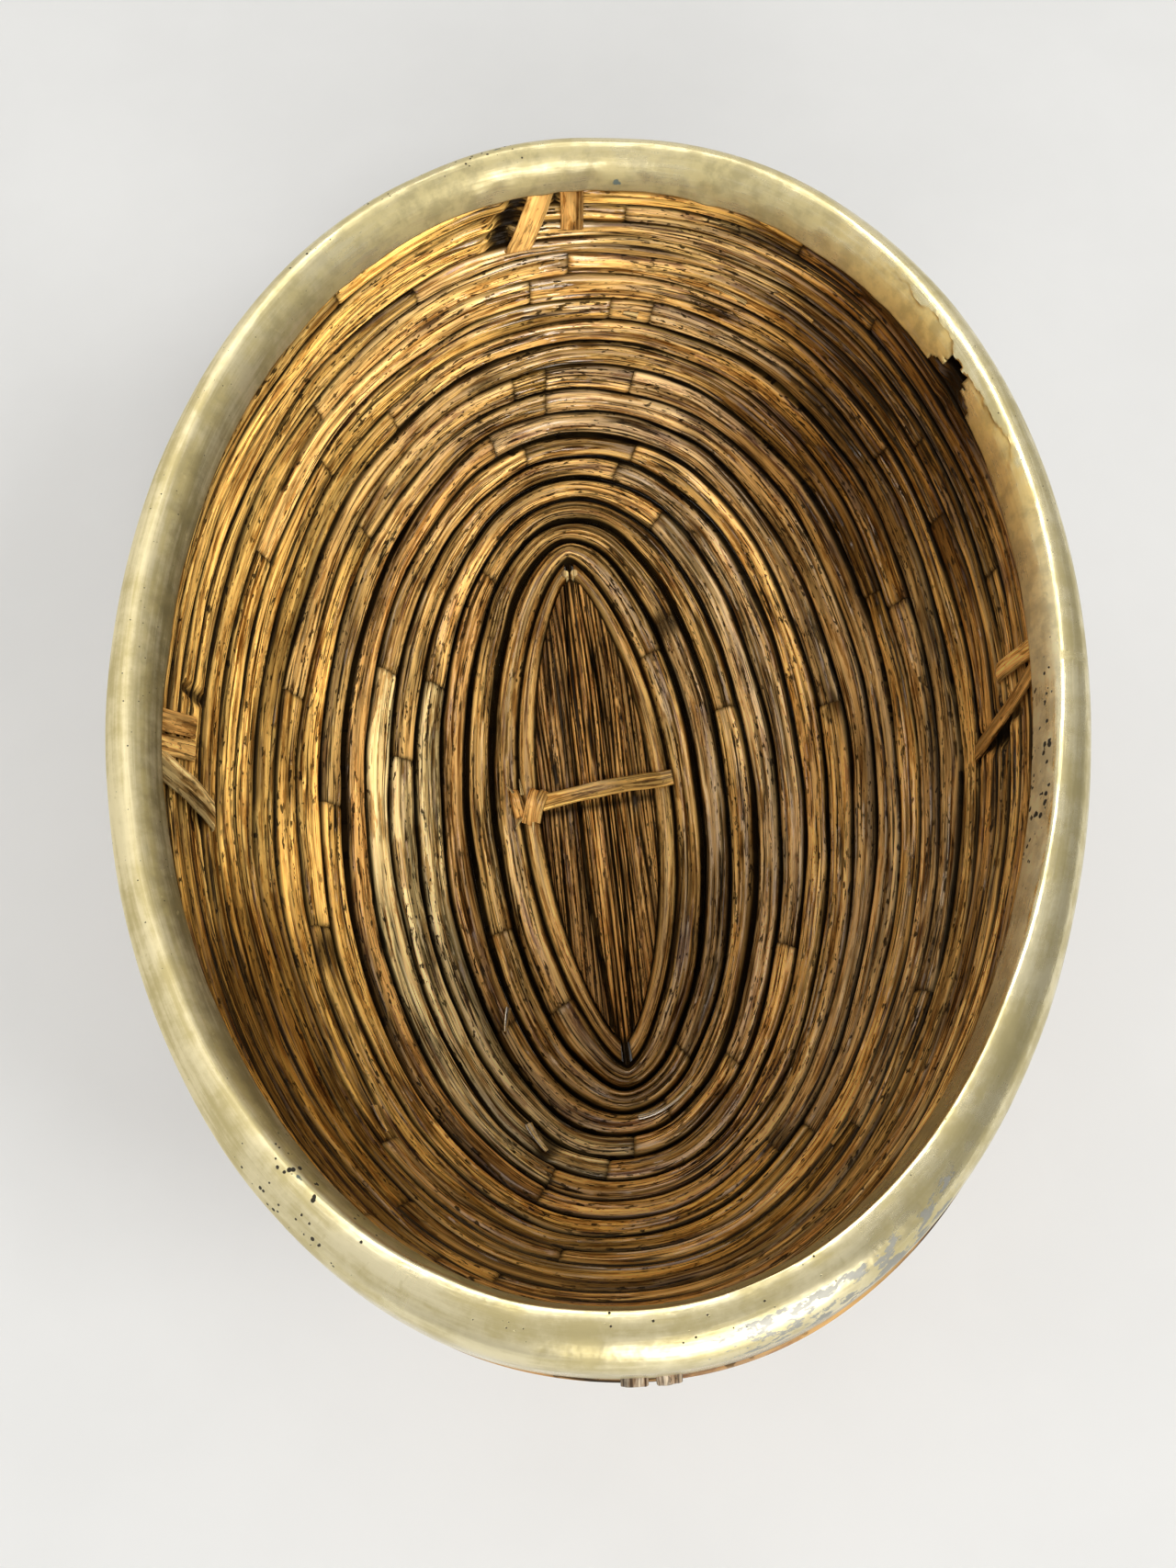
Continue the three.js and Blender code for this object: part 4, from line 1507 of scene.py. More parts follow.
        # Stain of the splint: dark open grain, painted shade along its edges, the tie's painted shadow below
        # it and darker tips.
        shift, breadth, dark = self.tie_shadow
        below = y - across * math.tan(self.tie_lean - self.bowl.lens_skew) + shift
        stain = smooth_step(*self.cut_span, cut)
        stain = stain + self.edge_shade * smooth_step(*self.edge_span, np.abs(flat))
        stain = stain + dark * hump(below, breadth) + smooth_step(tip - 3, tip, from_middle)
        piece.add(blank.mesh, turned(across, y, z, self.bowl.lens_skew), along=y * MM + side,
                  across=across / self.grain_across, seed=self.splint_grain + side, gloss=1.0,
                  stain=np.clip(stain, 0, 0.97), tint=shaded(tone, level))
        piece.finish(self.splint_material, self.splint_sharp)

    def reed(self, name: str, side: int) -> None:
        """Makes one pale reed along the edge of the centre, with the bead at its far tip.

        Args:
            name: Which one.
            side: -1 left, 1 right.
        """
        ripple = Ripple(self.reed_seed + side)
        piece = Piece(f"reed_{name}", "pale_reed", (f"centre_reed_{name}",))
        blank = Blank(self.reed_sections, self.reed_stations)
        share, turn = blank.places()
        angle = (2 * share - 1) * self.reed_stop

        def outline(border: float, tip: float) -> tuple[Array, Array]:
            """Pointed outline drawn in by a border."""
            x = (self.bowl.lens_width / 2 - border) * np.cos(angle) ** (2 * self.bowl.tip_roundness)
            return x, (self.bowl.lens_length / 2 - tip) * np.sin(angle)

        rim_x, rim_y = outline(0.3, 0.3)
        bore_x, bore_y = outline(self.reed_width - 0.1, self.tip_inset)
        c, s = np.cos(turn), np.sin(turn)
        lean = (1 + np.where(s >= 0, 0.97, 1.2) * squared_off(c, 0.9)) / 2
        x, y = bore_x + (rim_x - bore_x) * lean, bore_y + (rim_y - bore_y) * lean
        lumps = self.reed_lumps.read(ripple, y) + self.reed_ridges.read(ripple, c, y)
        rise = self.thickness - self.reed_edge - 0.2
        dome = self.reed_edge + rise * np.abs(s) ** 0.75 + lumps * np.abs(s)
        back = self.reed_edge * (1 - np.abs(s) ** 0.4)
        z = np.maximum(np.where(s >= 0, np.minimum(dome, self.thickness + 0.2), back), 0)
        stain = self.reed_end_dark * np.exp(-(1 - np.abs(2 * share - 1)) * self.reed_end_fall)
        level = self.reed_tint + self.reed_patches.read(ripple, y)
        piece.add(blank.mesh, turned(side * x, y, z, self.bowl.lens_skew), along=y * MM, across=c,
                  seed=self.reed_grain + side, stain=stain, gloss=1.0, tint=shaded(Tone.TAN, level))
        bead = Blank(self.bead_sections, self.bead_stations, 0.5)
        share, turn = bead.places()
        x = side * (self.bead_radius + self.bead_gap) + self.bead_radius * np.cos(turn)
        y = self.inner_tip + self.bead_ahead + self.bead_radius * np.sin(turn)
        z = share * (self.thickness + self.bead_gap)
        piece.add(bead.mesh, turned(x, y, z, self.bowl.lens_skew), along=share * 0.005,
                  across=np.cos(turn) * 0.5, seed=self.bead_grain + side, stain=0.0, gloss=1.0,
                  tint=shaded(Tone.STRAW, np.ones(len(x))))
        piece.finish(self.reed_material)

    def tie_height(self, x: Array) -> Array:
        """Underside of the tie.

        Args:
            x: Place along the tie.

        Returns:
            Height in millimetres.
        """
        crown = self.reed_crown
        rest = self.thickness + self.clearance
        arch = rest + self.tie_arch * np.sin((np.minimum(x, crown) + crown) / (2 * crown) * math.pi)
        return arch + np.maximum(0, x - crown) * 0.13

    def tie(self) -> None:
        """Makes the flat tie over the splints."""
        piece = Piece("tie_strip", "lashing_cane", ("centre_tie",))
        start = self.knot_width / 2 - self.reed_crown - 0.5
        x = np.linspace(start, self.bowl.lens_width / 2 + 1, self.tie_points)
        sway, shift, length = self.tie_sway
        y = sway * np.sin((x + shift) / length)
        path = turned(x, y, self.tie_height(x), self.tie_lean)
        band = Band(self.tie_width / 2, self.tie_thickness, Tone.GOLDEN, self.tie_seed)
        band.lay(piece, path, np.tile([0.0, 0.0, 1.0], (self.tie_points, 1)))
        piece.finish(self.reed_material)

    def knot(self) -> None:
        """Makes the folded knot at the tie's left end, with its frayed ends."""
        piece = Piece("tie_knot", "lashing_cane", ("centre_tie_knot",))
        up = np.array([0.0, 0.0, 1.0])

        def straight(x: float, y: float, heading: float, run: Array) -> tuple[Array, Array, Array]:
            """A straight way from a place by the left reed's crown, and its heading."""
            ahead = np.array([math.cos(math.radians(heading)), math.sin(math.radians(heading)), 0.0])
            return x - self.reed_crown + run * ahead[0], y + run * ahead[1], ahead

        for i, (x0, y0, heading, rise, tone) in enumerate(self.knot_turns):
            share = np.linspace(0, 1, self.knot_points)
            x, y, ahead = straight(x0, y0, heading, (self.knot_length - self.knot_shorter * i) * share)
            z = self.thickness + 0.2 + rise * np.sin(math.pi * share) ** 0.7 * 0.75
            lift = np.outer(np.cos(math.pi * share), -ahead) + up
            band = Band(self.knot_half, self.tie_thickness, tone, self.knot_seed + i, 0.25)
            band.lay(piece, turned(x, y, z, self.tie_lean), lift)
        for i, (x0, y0, heading, reach) in enumerate(self.frayed_ends):
            share = np.linspace(0, 1, self.frayed_points)
            x, y, _ = straight(x0, y0, heading, reach * share)
            z = self.thickness + 1.2 + 1.6 * np.sin(share * 2.2)
            band = Band(self.frayed_half, self.frayed_thick, Tone.STRAW, self.frayed_seed + i, 0.8)
            band.lay(piece, turned(x, y, z, self.tie_lean), np.tile(up, (len(share), 1)))
        piece.finish(self.reed_material)


@dataclass(frozen=True)
class Lashing:
    """One lashing loop, from the rim to where it goes through the wall."""

    node: str
    top: float
    foot: float
    depth: float
    half: float
    tone: Tone
    twin: Tone | None = None
    rise: float = 0.0


@dataclass(frozen=True)
class Dent:
    """Unevenness of the brass, which may fade between two places across the sheet."""

    size: float
    ahead: float
    over: float
    fade: Span = (-1, 0)


@dataclass(frozen=True)
class PitPatch:
    """A patch of pits in the brass, between two places across the sheet."""

    middle: float
    reach: float
    low: float
    high: float
    crowd: float


@dataclass(frozen=True)
class Crust:
    """A small green crust on the brass."""

    middle: float
    fold: float
    size: float


@dataclass(frozen=True)
class PatinaAndLight:
    """A film on one side of the flange, up to a fade across the sheet or to the torn line; its colour is
    partly a real film and partly painted light and reflection on that side.
    """

    middle: float
    reach: float
    colour: Colour
    chalk: float
    fade: Span | None = None
    deep: float = 0.0


@dataclass
class Rim:
    """The brass rim, the canes under it and the lashings through the wall."""

    bowl: Bowl
    cane: bpy.types.Material
    lashing: bpy.types.Material
    brass: bpy.types.Material
    clearance: float = 0.3
    hoop_width: float = 4.4
    hoop_height: float = 3.2
    hoop_out: float = 1.4
    hoop_follow: float = 0.45
    hoop_joint: float = 60
    hoop_seed: int = 401
    outer_thickness: float = 2.6
    outer_height: float = 8
    outer_drop: float = 12.6
    outer_fill: float = 0.9
    outer_bulge: float = 2.8
    bulge_span: Span = (0.1, -0.6)
    outer_joint: float = 150
    outer_seed: int = 402
    cane_sections: int = 20
    cane_stations: int = 560
    cane_shrink: Grain = Grain(0.04, 20, 0.5)
    cane_tint: float = 0.8
    cane_patches: Wave = Wave(0.25, 40, 2.2)
    cane_gloss: float = 0.4
    brass_thickness: float = 1
    crest_top: float = 7.4
    crest_out: float = 2.0
    crest_lean: float = 1.3
    hem_out: float = -5.6
    side_out: float = 8.1
    side_rise: float = 1.05
    flange_drop: float = 8
    flange_lift: float = 3.6
    skirt_drop: float = 14
    skirt_flare: float = 0.6
    near_flare: float = 2.2
    near_fall: float = 6
    near_crest: float = 4.6
    right_crest: float = 1.6
    chamfer: float = 1.08
    near_turn: float = math.radians(20)
    near_power: float = 1.5
    near_side: float = 0.7
    flange_share: float = 0.42
    crest_share: float = 0.26
    sheet_grid: tuple[int, int] = (820, 56)
    sheet_seed: int = 500
    sheet_sharp: float = 40
    sheet_gap: float = 0.15
    weld: float = 0.00005
    end_fade: float = 0.03
    sag: Dent = Dent(0.15, 6, 3)
    hem_sag: Dent = Dent(0.45, 9, 0, (0.12, 0))
    bow: Dent = Dent(0.22, 7, 4, (0.95, 0.6))
    beaten: Dent = Dent(0.3, 26, 9, (0.4, 0.1))
    beaten_least: float = 0.35
    beaten_more: float = 0.9
    beaten_side: Span = (90, 35)
    tear_middle: float = 34
    tear_reach: float = 4.2
    tear_depth: float = 0.27
    torn_line: float = 0.27
    torn_waves: tuple[Triple, ...] = ((0.05, 17, 77), (0.022, 52, 17), (0.012, 130, 27))
    torn_side: Triple = (35, 14, 6)
    torn_step: float = 0.5
    torn_edge: float = 0.012
    torn_groove: float = 0.55
    torn_width: float = 0.014
    pit_fade: float = 0.06
    pit_patches: tuple[PitPatch, ...] = (
        PitPatch(350, 12, 0.0, 0.26, 1.5), PitPatch(238, 10, 0.1, 0.6, 0.95),
        PitPatch(128, 16, 0.42, 0.62, 0.7), PitPatch(106, 9, 0.35, 0.55, 0.9),
        PitPatch(285, 40, 0.1, 0.5, 0.55), PitPatch(180, 70, 0.0, 0.8, 0.4), PitPatch(20, 40, 0.3, 0.7, 0.4),
    )
    crusts: tuple[Crust, ...] = (
        Crust(89.5, 0.1, 0.75), Crust(104.5, 0.5, 0.75), Crust(236, 0.4, 0.7), Crust(99, 0.05, 0.6),
        Crust(60, 0.3, 0.5),
    )
    # Film colours by side: partly real film, partly painted light and reflection.
    patinas_and_light: tuple[PatinaAndLight, ...] = (
        PatinaAndLight(95, 44, (0.53, 0.45, 0.22), 0.85, (0.47, 0.41)),
        PatinaAndLight(192, 56, (0.42, 0.34, 0.14), 0.9, (0.36, 0.26), 0.62),
        PatinaAndLight(280, 42, (0.5, 0.42, 0.17), 0.85, (0.38, 0.26)),
        PatinaAndLight(30, 26, (0.76, 0.55, 0.19), 0.6),
        PatinaAndLight(348, 24, (1.0, 0.9, 0.58), 0.75),
    )
    crust_reach: Span = (1.0, 0.045)
    worn_share: float = 0.51
    worn_side: Triple = (296, 25, 4)
    worn_span: Span = (0.44, 0.54)
    skirt_worn: float = 0.12
    skirt_span: Span = (0.85, 0.98)
    dull_side: Triple = (190, 62, 4)
    dull_span: Span = (0.78, 0.66)
    near_dull: float = 0.5
    near_dull_side: Triple = (275, 40, 4)
    film: float = 0.92
    lash_thickness: float = 1.2
    lash_seed: int = 420
    lash_points: int = 220
    lash_smooth: int = 7
    lash_bow: float = 0.8
    lash_radius: float = 120
    twin_step: float = 1.72
    mouth_radius: float = 131
    lashings: tuple[Lashing, ...] = (
        Lashing("far_lashing_straight", 95.2, 94.8, 26, 4.2, Tone.BROWN),
        Lashing("far_lashing_slanted", 99.2, 103.0, 33, 4.5, Tone.TAN),
        Lashing("left_lashing_straight", 187.2, 184.0, 35, 3.3, Tone.RUST, Tone.TAN),
        Lashing("left_lashing_slanted", 191.4, 192.0, 47, 5.0, Tone.STRAW, rise=1.4),
        Lashing("near_lashing_straight", 273.0, 273.0, 26, 3.4, Tone.ASH),
        Lashing("near_lashing_slanted", 276.2, 278.2, 33, 3.4, Tone.ASH),
        Lashing("right_lashing_straight", 2.8, 3.3, 34, 3.2, Tone.TAN),
        Lashing("right_lashing_slanted", 1.0, 356.0, 51, 2.8, Tone.RUST),
    )

    def crest(self, angle: Array) -> Array:
        """Place of the brass rim's crest, out from the wall's middle."""
        right = self.right_crest * np.maximum(0, np.cos(angle)) ** 2
        return self.crest_out + self.crest_lean * np.sin(angle) - right - self.near_crest * self.near(angle)

    def drop(self, angle: Array) -> Array:
        """Depth of the brass rim's hem below the wall's edge, least away from the near side."""
        return self.flange_drop - self.flange_lift * (1 - self.near(angle))

    def hoop_centre(self, angle: Array) -> Array:
        """Middle of the hoop, out from the wall's middle."""
        return self.hoop_out + self.hoop_follow * self.crest(angle)

    def near(self, angle: Array) -> Array:
        """How far the rim spreads towards the near side, from 0 to 1."""
        return np.maximum(0, -np.sin(angle - self.near_turn)) ** self.near_power

    def outer_half(self, angle: Array) -> Array:
        """Half the thickness of the outer cane, which fills the wider rim on the near side."""
        return self.outer_thickness / 2 + self.near_flare * self.outer_fill * self.near(angle)

    def outer_out(self, angle: Array) -> Array:
        """Middle of the outer cane, out from the wall's middle."""
        return self.bowl.half_cane + self.clearance + self.outer_half(angle)

    def bulge(self, angle: Array, side: Array) -> Array:
        """How far the outer cane stands out under the skirt, by its side from -1 below to 1 above."""
        return self.outer_bulge * self.near(angle) * smooth_step(*self.bulge_span, side)

    def build(self) -> None:
        """Makes the whole rim."""
        hoop_rise = self.clearance + self.hoop_height / 2
        self.ring_cane("hoop_cane", "rim_hoop", hoop_rise, self.hoop_height / 2, self.hoop_joint,
                       self.hoop_seed)
        self.ring_cane("outer_cane", "outer_rim_cane", -self.outer_drop, self.outer_height / 2,
                       self.outer_joint, self.outer_seed)
        for i, lashing in enumerate(self.lashings):
            self.loop(lashing, self.lash_seed + 2 * i)
        self.sheet()

    def ring_cane(self, name: str, node: str, rise: float, half_rise: float, joint: float,
                  seed: int) -> None:
        """Makes one cane that runs round the rim.

        Args:
            name: Name of the piece.
            node: CAD node that it stands for.
            rise: Middle, above the wall's edge.
            half_rise: Half its height.
            joint: Angle of its butt joint, in degrees.
            seed: Number that fixes its unevenness.
        """
        ripple = Ripple(seed)
        start = math.radians(joint)
        lengths, angles = self.bowl.ring(self.bowl.wall_arc, start, start + TURN)
        blank = Blank(self.cane_sections, self.cane_stations, 0.5)
        share, turn = blank.places()
        along = share * lengths[-1]
        angle = np.interp(along, lengths, angles)
        c, s = np.cos(turn), np.sin(turn)
        shrink = 1 - self.cane_shrink.size + self.cane_shrink.read(ripple, along, c)
        inside = rise > 0
        half_out = self.hoop_width / 2 if inside else self.outer_half(angle)
        out = self.hoop_centre(angle) if inside else self.outer_out(angle) + self.bulge(angle, s)
        arc = self.bowl.wall_arc + rise + half_rise * s * shrink
        points = self.bowl.place(arc, out + half_out * c * shrink, angle)
        level = self.cane_tint + self.cane_patches.read(ripple, along)
        piece = Piece(name, "brown_cane", (node,))
        piece.add(blank.mesh, points, along=along * MM, across=s * 0.5, seed=seed * 0.1, stain=0.0,
                  tint=shaded(Tone.UMBER, level), gloss=self.cane_gloss)
        piece.finish(self.cane)

    def loop(self, lashing: Lashing, seed: int) -> None:
        """Makes one lashing loop, from under the brass through the wall and back.

        Args:
            lashing: The loop.
            seed: Number that fixes its unevenness.
        """
        piece = Piece(lashing.node.replace("lashing", "lash"), "lashing_cane", (lashing.node,))
        tones = [tone for tone in (lashing.tone, lashing.twin) if tone]
        for i, tone in enumerate(tones):
            turn = math.degrees(self.twin_step * lashing.half / self.mouth_radius) * i
            path, lift = self.loop_path(lashing, turn)
            Band(lashing.half, self.lash_thickness, tone, seed + i).lay(piece, path, lift)
        piece.finish(self.lashing)

    def loop_path(self, lashing: Lashing, turn: float) -> tuple[Array, Array]:
        """Works out the way of a loop.

        Args:
            lashing: The loop.
            turn: Turn round the rim, in degrees.

        Returns:
            Points of the way, and the direction away from what it lies on.
        """
        bowl = self.bowl
        top = math.radians(lashing.top + turn)
        foot = top + math.radians((lashing.foot - lashing.top + 180) % 360 - 180)
        at = np.array(top)
        hole, face, hem = -lashing.depth, bowl.half_cane + self.clearance, -float(self.drop(at))
        over, cane = self.hoop_width / 2 + self.clearance, self.outer_height / 2 + self.clearance
        middle, half = float(self.outer_out(at)), float(self.outer_half(at)) + 0.1
        hoop, bow = float(self.hoop_centre(at)), self.lash_bow + lashing.rise
        visible = [(hole + (hem - hole) * t, -face - bow * math.sin(math.pi * t), foot + (top - foot) * t)
                   for t in (0.25, 0.5, 0.75)]
        crest = [(self.clearance + self.hoop_height * math.sin(a), hoop + over * math.cos(a), top)
                 for a in np.linspace(math.pi, 0, 9)]
        under = []
        for a in np.linspace(0, -math.pi / 2, 7):
            out = middle + half * math.cos(a) + float(self.bulge(at, np.array(math.sin(a))))
            under.append((-self.outer_drop + cane * math.sin(a), out, top))
        below = -self.outer_drop - cane - 2.4
        knots = np.array([(hole, 1.0, foot), (hole + 0.4, -face + 0.4, foot), *visible, (hem + 1, -face, top),
                          (-2.4, -face + 0.9, top), *crest, *under, (below, face, top),
                          (hole - 0.6, face, foot), (hole - 0.6, 1.0, foot)])
        steps = lengths_along(knots * [1, 1, self.lash_radius])
        fine = np.linspace(0, steps[-1], self.lash_points)
        kernel, end = np.ones(self.lash_smooth) / self.lash_smooth, self.lash_smooth // 2

        def smooth(column: Array) -> Array:
            """Rounds the corners of one column of the way."""
            value = np.interp(fine, steps, column)
            return np.concatenate([value[:end], np.convolve(value, kernel, "valid"), value[-end:]])

        rise, out, angle = (smooth(knots[:, k]) for k in range(3))
        arc = bowl.wall_arc + rise
        path = bowl.place(arc, out, angle)
        lift = bowl.place(arc + np.gradient(out), out - np.gradient(rise), angle) - path
        return path, lift

    def section(self, fold: Array, angle: Array) -> tuple[Array, Array]:
        """Outer face of the folded sheet.

        Args:
            fold: Share of the way from the hem over the crest to the skirt's edge.
            angle: Angle round the bowl.

        Returns:
            Rise above the wall's edge, and distance out.
        """
        near = self.near(angle)
        crest, drop = self.crest(angle), self.drop(angle)
        side = self.side_out + self.near_side * self.near_flare * near
        low = self.side_rise - self.near_fall * near
        flare = self.skirt_flare + (1 - self.near_side) * self.near_flare * near
        over = self.flange_share + self.crest_share
        inner = np.clip(fold / self.flange_share, 0, 1) * np.pi / 2
        outer = np.clip((fold - self.flange_share) / self.crest_share, 0, 1) * np.pi / 2
        skirt = np.clip((fold - over) / (1 - over), 0, 1)
        rise = (-drop + (self.crest_top + drop) * np.sin(inner) ** self.chamfer
                - (self.crest_top - low) * (1 - np.cos(outer)) - (low + self.skirt_drop) * skirt)
        lean = np.abs(np.cos(inner)) ** self.chamfer
        out = crest - (crest - self.hem_out) * lean + (side - crest) * np.sin(outer) + flare * skirt
        return rise, out

    def arch(self, angle: Array, middle: float, reach: float, power: int = 2) -> Array:
        """A bump of 1 round the rim, placed in degrees and flatter with a higher power."""
        return np.exp(-(np.abs(turn_from(angle, middle)) / math.radians(reach)) ** power)

    def tarnish_and_light(self, fold: Array, angle: Array, line: Array) -> dict[str, Array]:
        """Films on the brass flange, whose colours side by side are partly real film and partly painted light
        and reflection.

        Args:
            fold: Share of the way across the sheet.
            angle: Angle round the bowl.
            line: Where the torn line lies across the sheet.

        Returns:
            Share of the film, its colour and how chalky it is.
        """
        # Some films are darker towards the hem, as painted shade and reflection.
        deep = smooth_step(0.3, 0.14, fold)[:, None]
        torn = smooth_step(0.03, -0.03, fold - line - 0.08 * (1 - self.arch(angle, *self.torn_side)))
        weight, colour, chalk = np.full(len(fold), 1e-4), np.zeros((len(fold), 3)), np.zeros(len(fold))
        for patina_and_light in self.patinas_and_light:
            share = torn if patina_and_light.fade is None else smooth_step(*patina_and_light.fade, fold)
            share = share * self.arch(angle, patina_and_light.middle, patina_and_light.reach, 4)
            weight += share
            colour += share[:, None] * np.array(patina_and_light.colour) * (1 - patina_and_light.deep * deep)
            chalk += share * patina_and_light.chalk
        return {"film": self.film * np.minimum(weight, 1), "chalk": chalk / weight,
                "patina_and_light": opaque(colour / weight[:, None])}

    def wear(self, fold: Array, angle: Array) -> dict[str, Array]:
        """Pits, crusts, bare patches and dull sides of the brass.

        Args:
            fold: Share of the way across the sheet.
            angle: Angle round the bowl.

        Returns:
            How much of each there is at each point.
        """
        pitting, verdigris = np.zeros(len(fold)), np.zeros(len(fold))
        for patch in self.pit_patches:
            inside = smooth_step(patch.low - self.pit_fade, patch.low, fold)
            inside = inside * smooth_step(patch.high + self.pit_fade, patch.high, fold)
            pitting = np.maximum(pitting, patch.crowd * self.arch(angle, patch.middle, patch.reach) * inside)
        for crust in self.crusts:
            turn, over = self.crust_reach
            verdigris += crust.size * self.arch(angle, crust.middle, turn) * hump(fold - crust.fold, over)
        worn = self.worn_share * self.arch(angle, *self.worn_side) * smooth_step(*self.worn_span, fold)
        worn = worn + self.skirt_worn * smooth_step(*self.skirt_span, fold)
        near = self.near_dull * self.arch(angle, *self.near_dull_side)
        dull = smooth_step(*self.dull_span, fold) * np.maximum(self.arch(angle, *self.dull_side), near)
        return {"pitting": pitting, "verdigris": np.clip(verdigris, 0, 1), "worn": worn, "dull": dull}

    def sheet(self) -> None:
        """Makes the folded brass sheet, with its dents, its torn hem and its wear."""
        mesh = bmesh.new()
        along, over = self.sheet_grid
        bmesh.ops.create_grid(mesh, x_segments=along, y_segments=over, size=0.5)
        spots = np.array([v.co for v in mesh.verts])
        angle, fold = (spots[:, 0] + 0.5) * TURN, spots[:, 1] + 0.5
        ripple = Ripple(self.sheet_seed)
        rise, out = self.section(fold, angle)
        turn = angle / TURN
        closed = smooth_step(0, self.end_fade, turn) * smooth_step(1, 1 - self.end_fade, turn)

        def depth(dent: Dent) -> Array:
            """Depth of dents, which die out where the sheet's ends meet."""
            wave = closed * ripple.at(angle * dent.ahead, fold * dent.over)
            return dent.size * smooth_step(*dent.fade, fold) * wave

        blows = self.beaten_least + self.beaten_more * self.arch(angle, *self.beaten_side)
        rise = rise + depth(self.sag) - depth(self.hem_sag)
        out = out - depth(self.beaten) * blows - depth(self.bow)
        line = self.torn_line + sum(size * ripple.at(angle * ahead, row)
                                    for size, ahead, row in self.torn_waves)
        step = self.torn_step * smooth_step(self.torn_edge, -self.torn_edge, fold - line)
        step = step - self.torn_groove * hump(fold - line, self.torn_width)
        out = out + self.arch(angle, *self.torn_side) * step
        piece = Piece("brass_sheet", "brass", ("brass_rim",))
        piece.add(mesh, self.bowl.place(self.bowl.wall_arc + rise, out, angle), along=angle * 0.16,
                  across=fold, **self.wear(fold, angle), **self.tarnish_and_light(fold, angle, line))
        made = piece.finish(self.brass, self.sheet_sharp)
        self.tear(made, angle, fold, ripple)
        made.modifiers.new("weld", "WELD").merge_threshold = self.weld
        thick = made.modifiers.new("thickness", "SOLIDIFY")
        thick.thickness = (self.brass_thickness - self.sheet_gap) * MM
        thick.offset = -1

    def tear(self, sheet: bpy.types.Object, angle: Array, fold: Array, ripple: Ripple) -> None:
        """Tears a ragged piece out of the hem.

        Args:
            sheet: The brass sheet.
            angle: Angle of each point.
            fold: Place of each point across the sheet.
            ripple: Unevenness of the tear.
        """
        mesh = bmesh.new()
        mesh.from_mesh(sheet.data)
        reach = math.radians(self.tear_reach) * (1 + 0.35 * ripple.at(fold * 40, 91))
        edge = self.tear_depth * (1 - ((angle - math.radians(self.tear_middle)) / reach) ** 2)
        gone = fold < edge + 0.03 * ripple.at(angle * 120, 93)
        faces = [f for f in mesh.faces if all(gone[v.index] for v in f.verts)]
        bmesh.ops.delete(mesh, geom=faces, context="FACES")
        mesh.to_mesh(sheet.data)
        mesh.free()


@dataclass(frozen=True)
class Lamp:
    """A soft square lamp: its place and side in metres, and its power in watts."""

    name: str
    place: Place
    power: float
    size: float


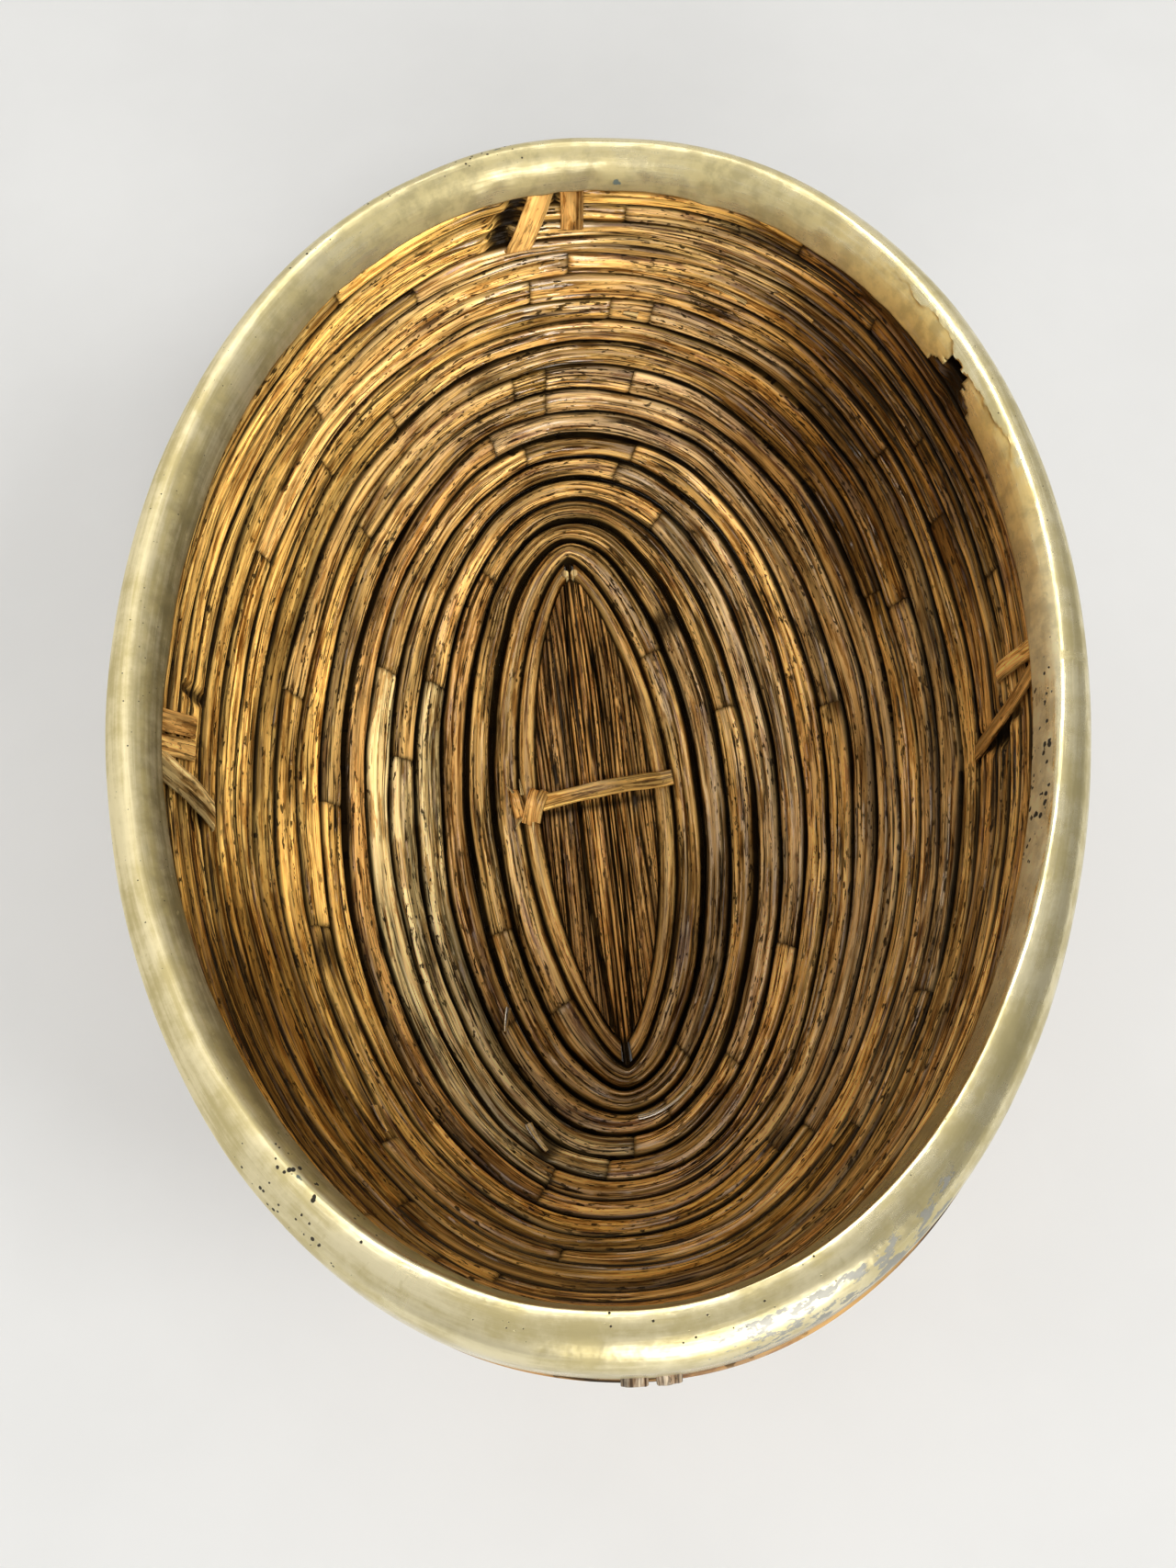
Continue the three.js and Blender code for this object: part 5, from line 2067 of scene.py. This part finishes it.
@dataclass
class Studio:
    """Floor, light and camera."""

    floor_size: float = 6.0
    lamps: tuple[Lamp, ...] = (
        Lamp("key_light", (1.6, -4.9, 6.1), 205.0, 2.3),
        Lamp("side_light", (6.1, -1.25, 4.85), 178.0, 2.9),
        Lamp("front_light", (0.35, -5.8, 2.5), 150.0, 3.6),
    )
    ambient: float = 0.45
    gloss_low: float = 0.38
    gloss_high: float = 0.82
    gloss_from: Place = (-0.75, 0.5, 0.43)
    gloss_span: Span = (-0.6, 0.5)
    window: float = 4.5
    window_from: Place = (-0.08, 0.4, 0.91)
    window_span: Span = (0.95, 0.985)
    door: float = 5.0
    door_from: Place = (0.365, -0.859, 0.358)
    door_span: Span = (0.92, 0.98)
    background: float = 0.95
    daylight: Colour = (1.0, 0.985, 0.96)
    aim_height: float = 0.05
    focal_pixels: float = 1265.0
    frame_height: float = 1707.0
    sensor: float = 36.0
    camera_place: Place = (0.0009, -0.1379, 0.4425)
    camera_turn: Triple = (math.radians(18), 0.0, 0.029)
    clip_start: float = 0.01

    def build(self) -> None:
        """Makes the surroundings."""
        self.floor()
        for lamp in self.lamps:
            self.hang(lamp)
        self.world()
        self.camera()

    def floor(self) -> None:
        """Makes the pale floor."""
        mesh = bmesh.new()
        bmesh.ops.create_grid(mesh, x_segments=1, y_segments=1, size=self.floor_size / 2)
        data = bpy.data.meshes.new("floor")
        mesh.to_mesh(data)
        mesh.free()
        data.materials.append(FloorFinish().build())
        made = add_object("floor", data)

    def hang(self, lamp: Lamp) -> None:
        """Hangs a lamp that looks at the basket.

        Args:
            lamp: The lamp.
        """
        light = bpy.data.lights.new(lamp.name, "AREA")
        light.energy, light.size = lamp.power, lamp.size
        made = add_object(lamp.name, light)
        made.location = lamp.place
        made.visible_glossy = False
        aim = made.location.copy()
        aim.z -= self.aim_height
        made.rotation_euler = aim.to_track_quat("Z", "Y").to_euler()

    def world(self) -> None:
        """Lights the room evenly, with a pale background for the eye and for gloss."""
        world = bpy.data.worlds.new("room")
        bpy.context.scene.world = world
        world.use_nodes = True
        board = Board(world.node_tree)
        path = board.node("ShaderNodeLightPath").outputs
        heading = board.node("ShaderNodeTexCoord").outputs["Generated"]

        def toward(place: Place) -> Socket:
            """How much a ray heads towards a place, from -1 to 1."""
            made = board.node("ShaderNodeVectorMath", operation="DOT_PRODUCT")
            return board.filled(made, heading, place).outputs["Value"]

        gloss = board.fit(toward(self.gloss_from), *self.gloss_span, self.gloss_low, self.gloss_high)
        window = board.fit(toward(self.window_from), *self.window_span, 0.0, self.window)
        door = board.fit(toward(self.door_from), *self.door_span, 0.0, self.door)
        gloss = board.math("ADD", gloss, board.math("ADD", window, door))
        gloss = board.math("SUBTRACT", gloss, self.ambient)
        level = board.math("MULTIPLY_ADD", path["Is Glossy Ray"], gloss, self.ambient)
        seen = board.math("MAXIMUM", path["Is Camera Ray"], path["Is Transmission Ray"])
        level = board.math("MULTIPLY_ADD", seen, board.math("SUBTRACT", self.background, level), level)
        light = board.node("ShaderNodeBackground")
        board.filled(light, Color=rgba(self.daylight), Strength=level)
        board.filled(board.node("ShaderNodeOutputWorld"), Surface=light.outputs["Background"])

    def camera(self) -> None:
        """Sets the camera at the photograph's angle."""
        data = bpy.data.cameras.new("camera")
        data.sensor_width = self.sensor
        data.lens = self.sensor * self.focal_pixels / self.frame_height
        data.clip_start = self.clip_start
        made = add_object("camera", data)
        made.location = self.camera_place
        made.rotation_euler = self.camera_turn
        bpy.context.scene.camera = made


def main() -> None:
    """Builds the basket and its surroundings."""
    logging.basicConfig(level=logging.INFO, format="%(name)s %(message)s")
    bpy.context.scene.view_settings.view_transform = "Standard"
    Studio().build()
    bowl = Bowl()
    rush = CaneFinish("varnished_rush").build()
    splint = CaneFinish("open_splint", fineness=1.5, edge_shade=0.0, roughness=0.5, coat=0.1).build()
    split_cane = CaneFinish("split_cane", fineness=0.8, line_dark=0.6, edge_start=0.75, edge_shade=0.7,
                            speck_dark=0.6, roughness=0.45, coat=0.12).build()
    Coil(bowl, rush).build()
    Centre(bowl, splint, split_cane).build()
    Rim(bowl, rush, split_cane, BrassFinish().build()).build()


if __name__ == "__main__":
    main()
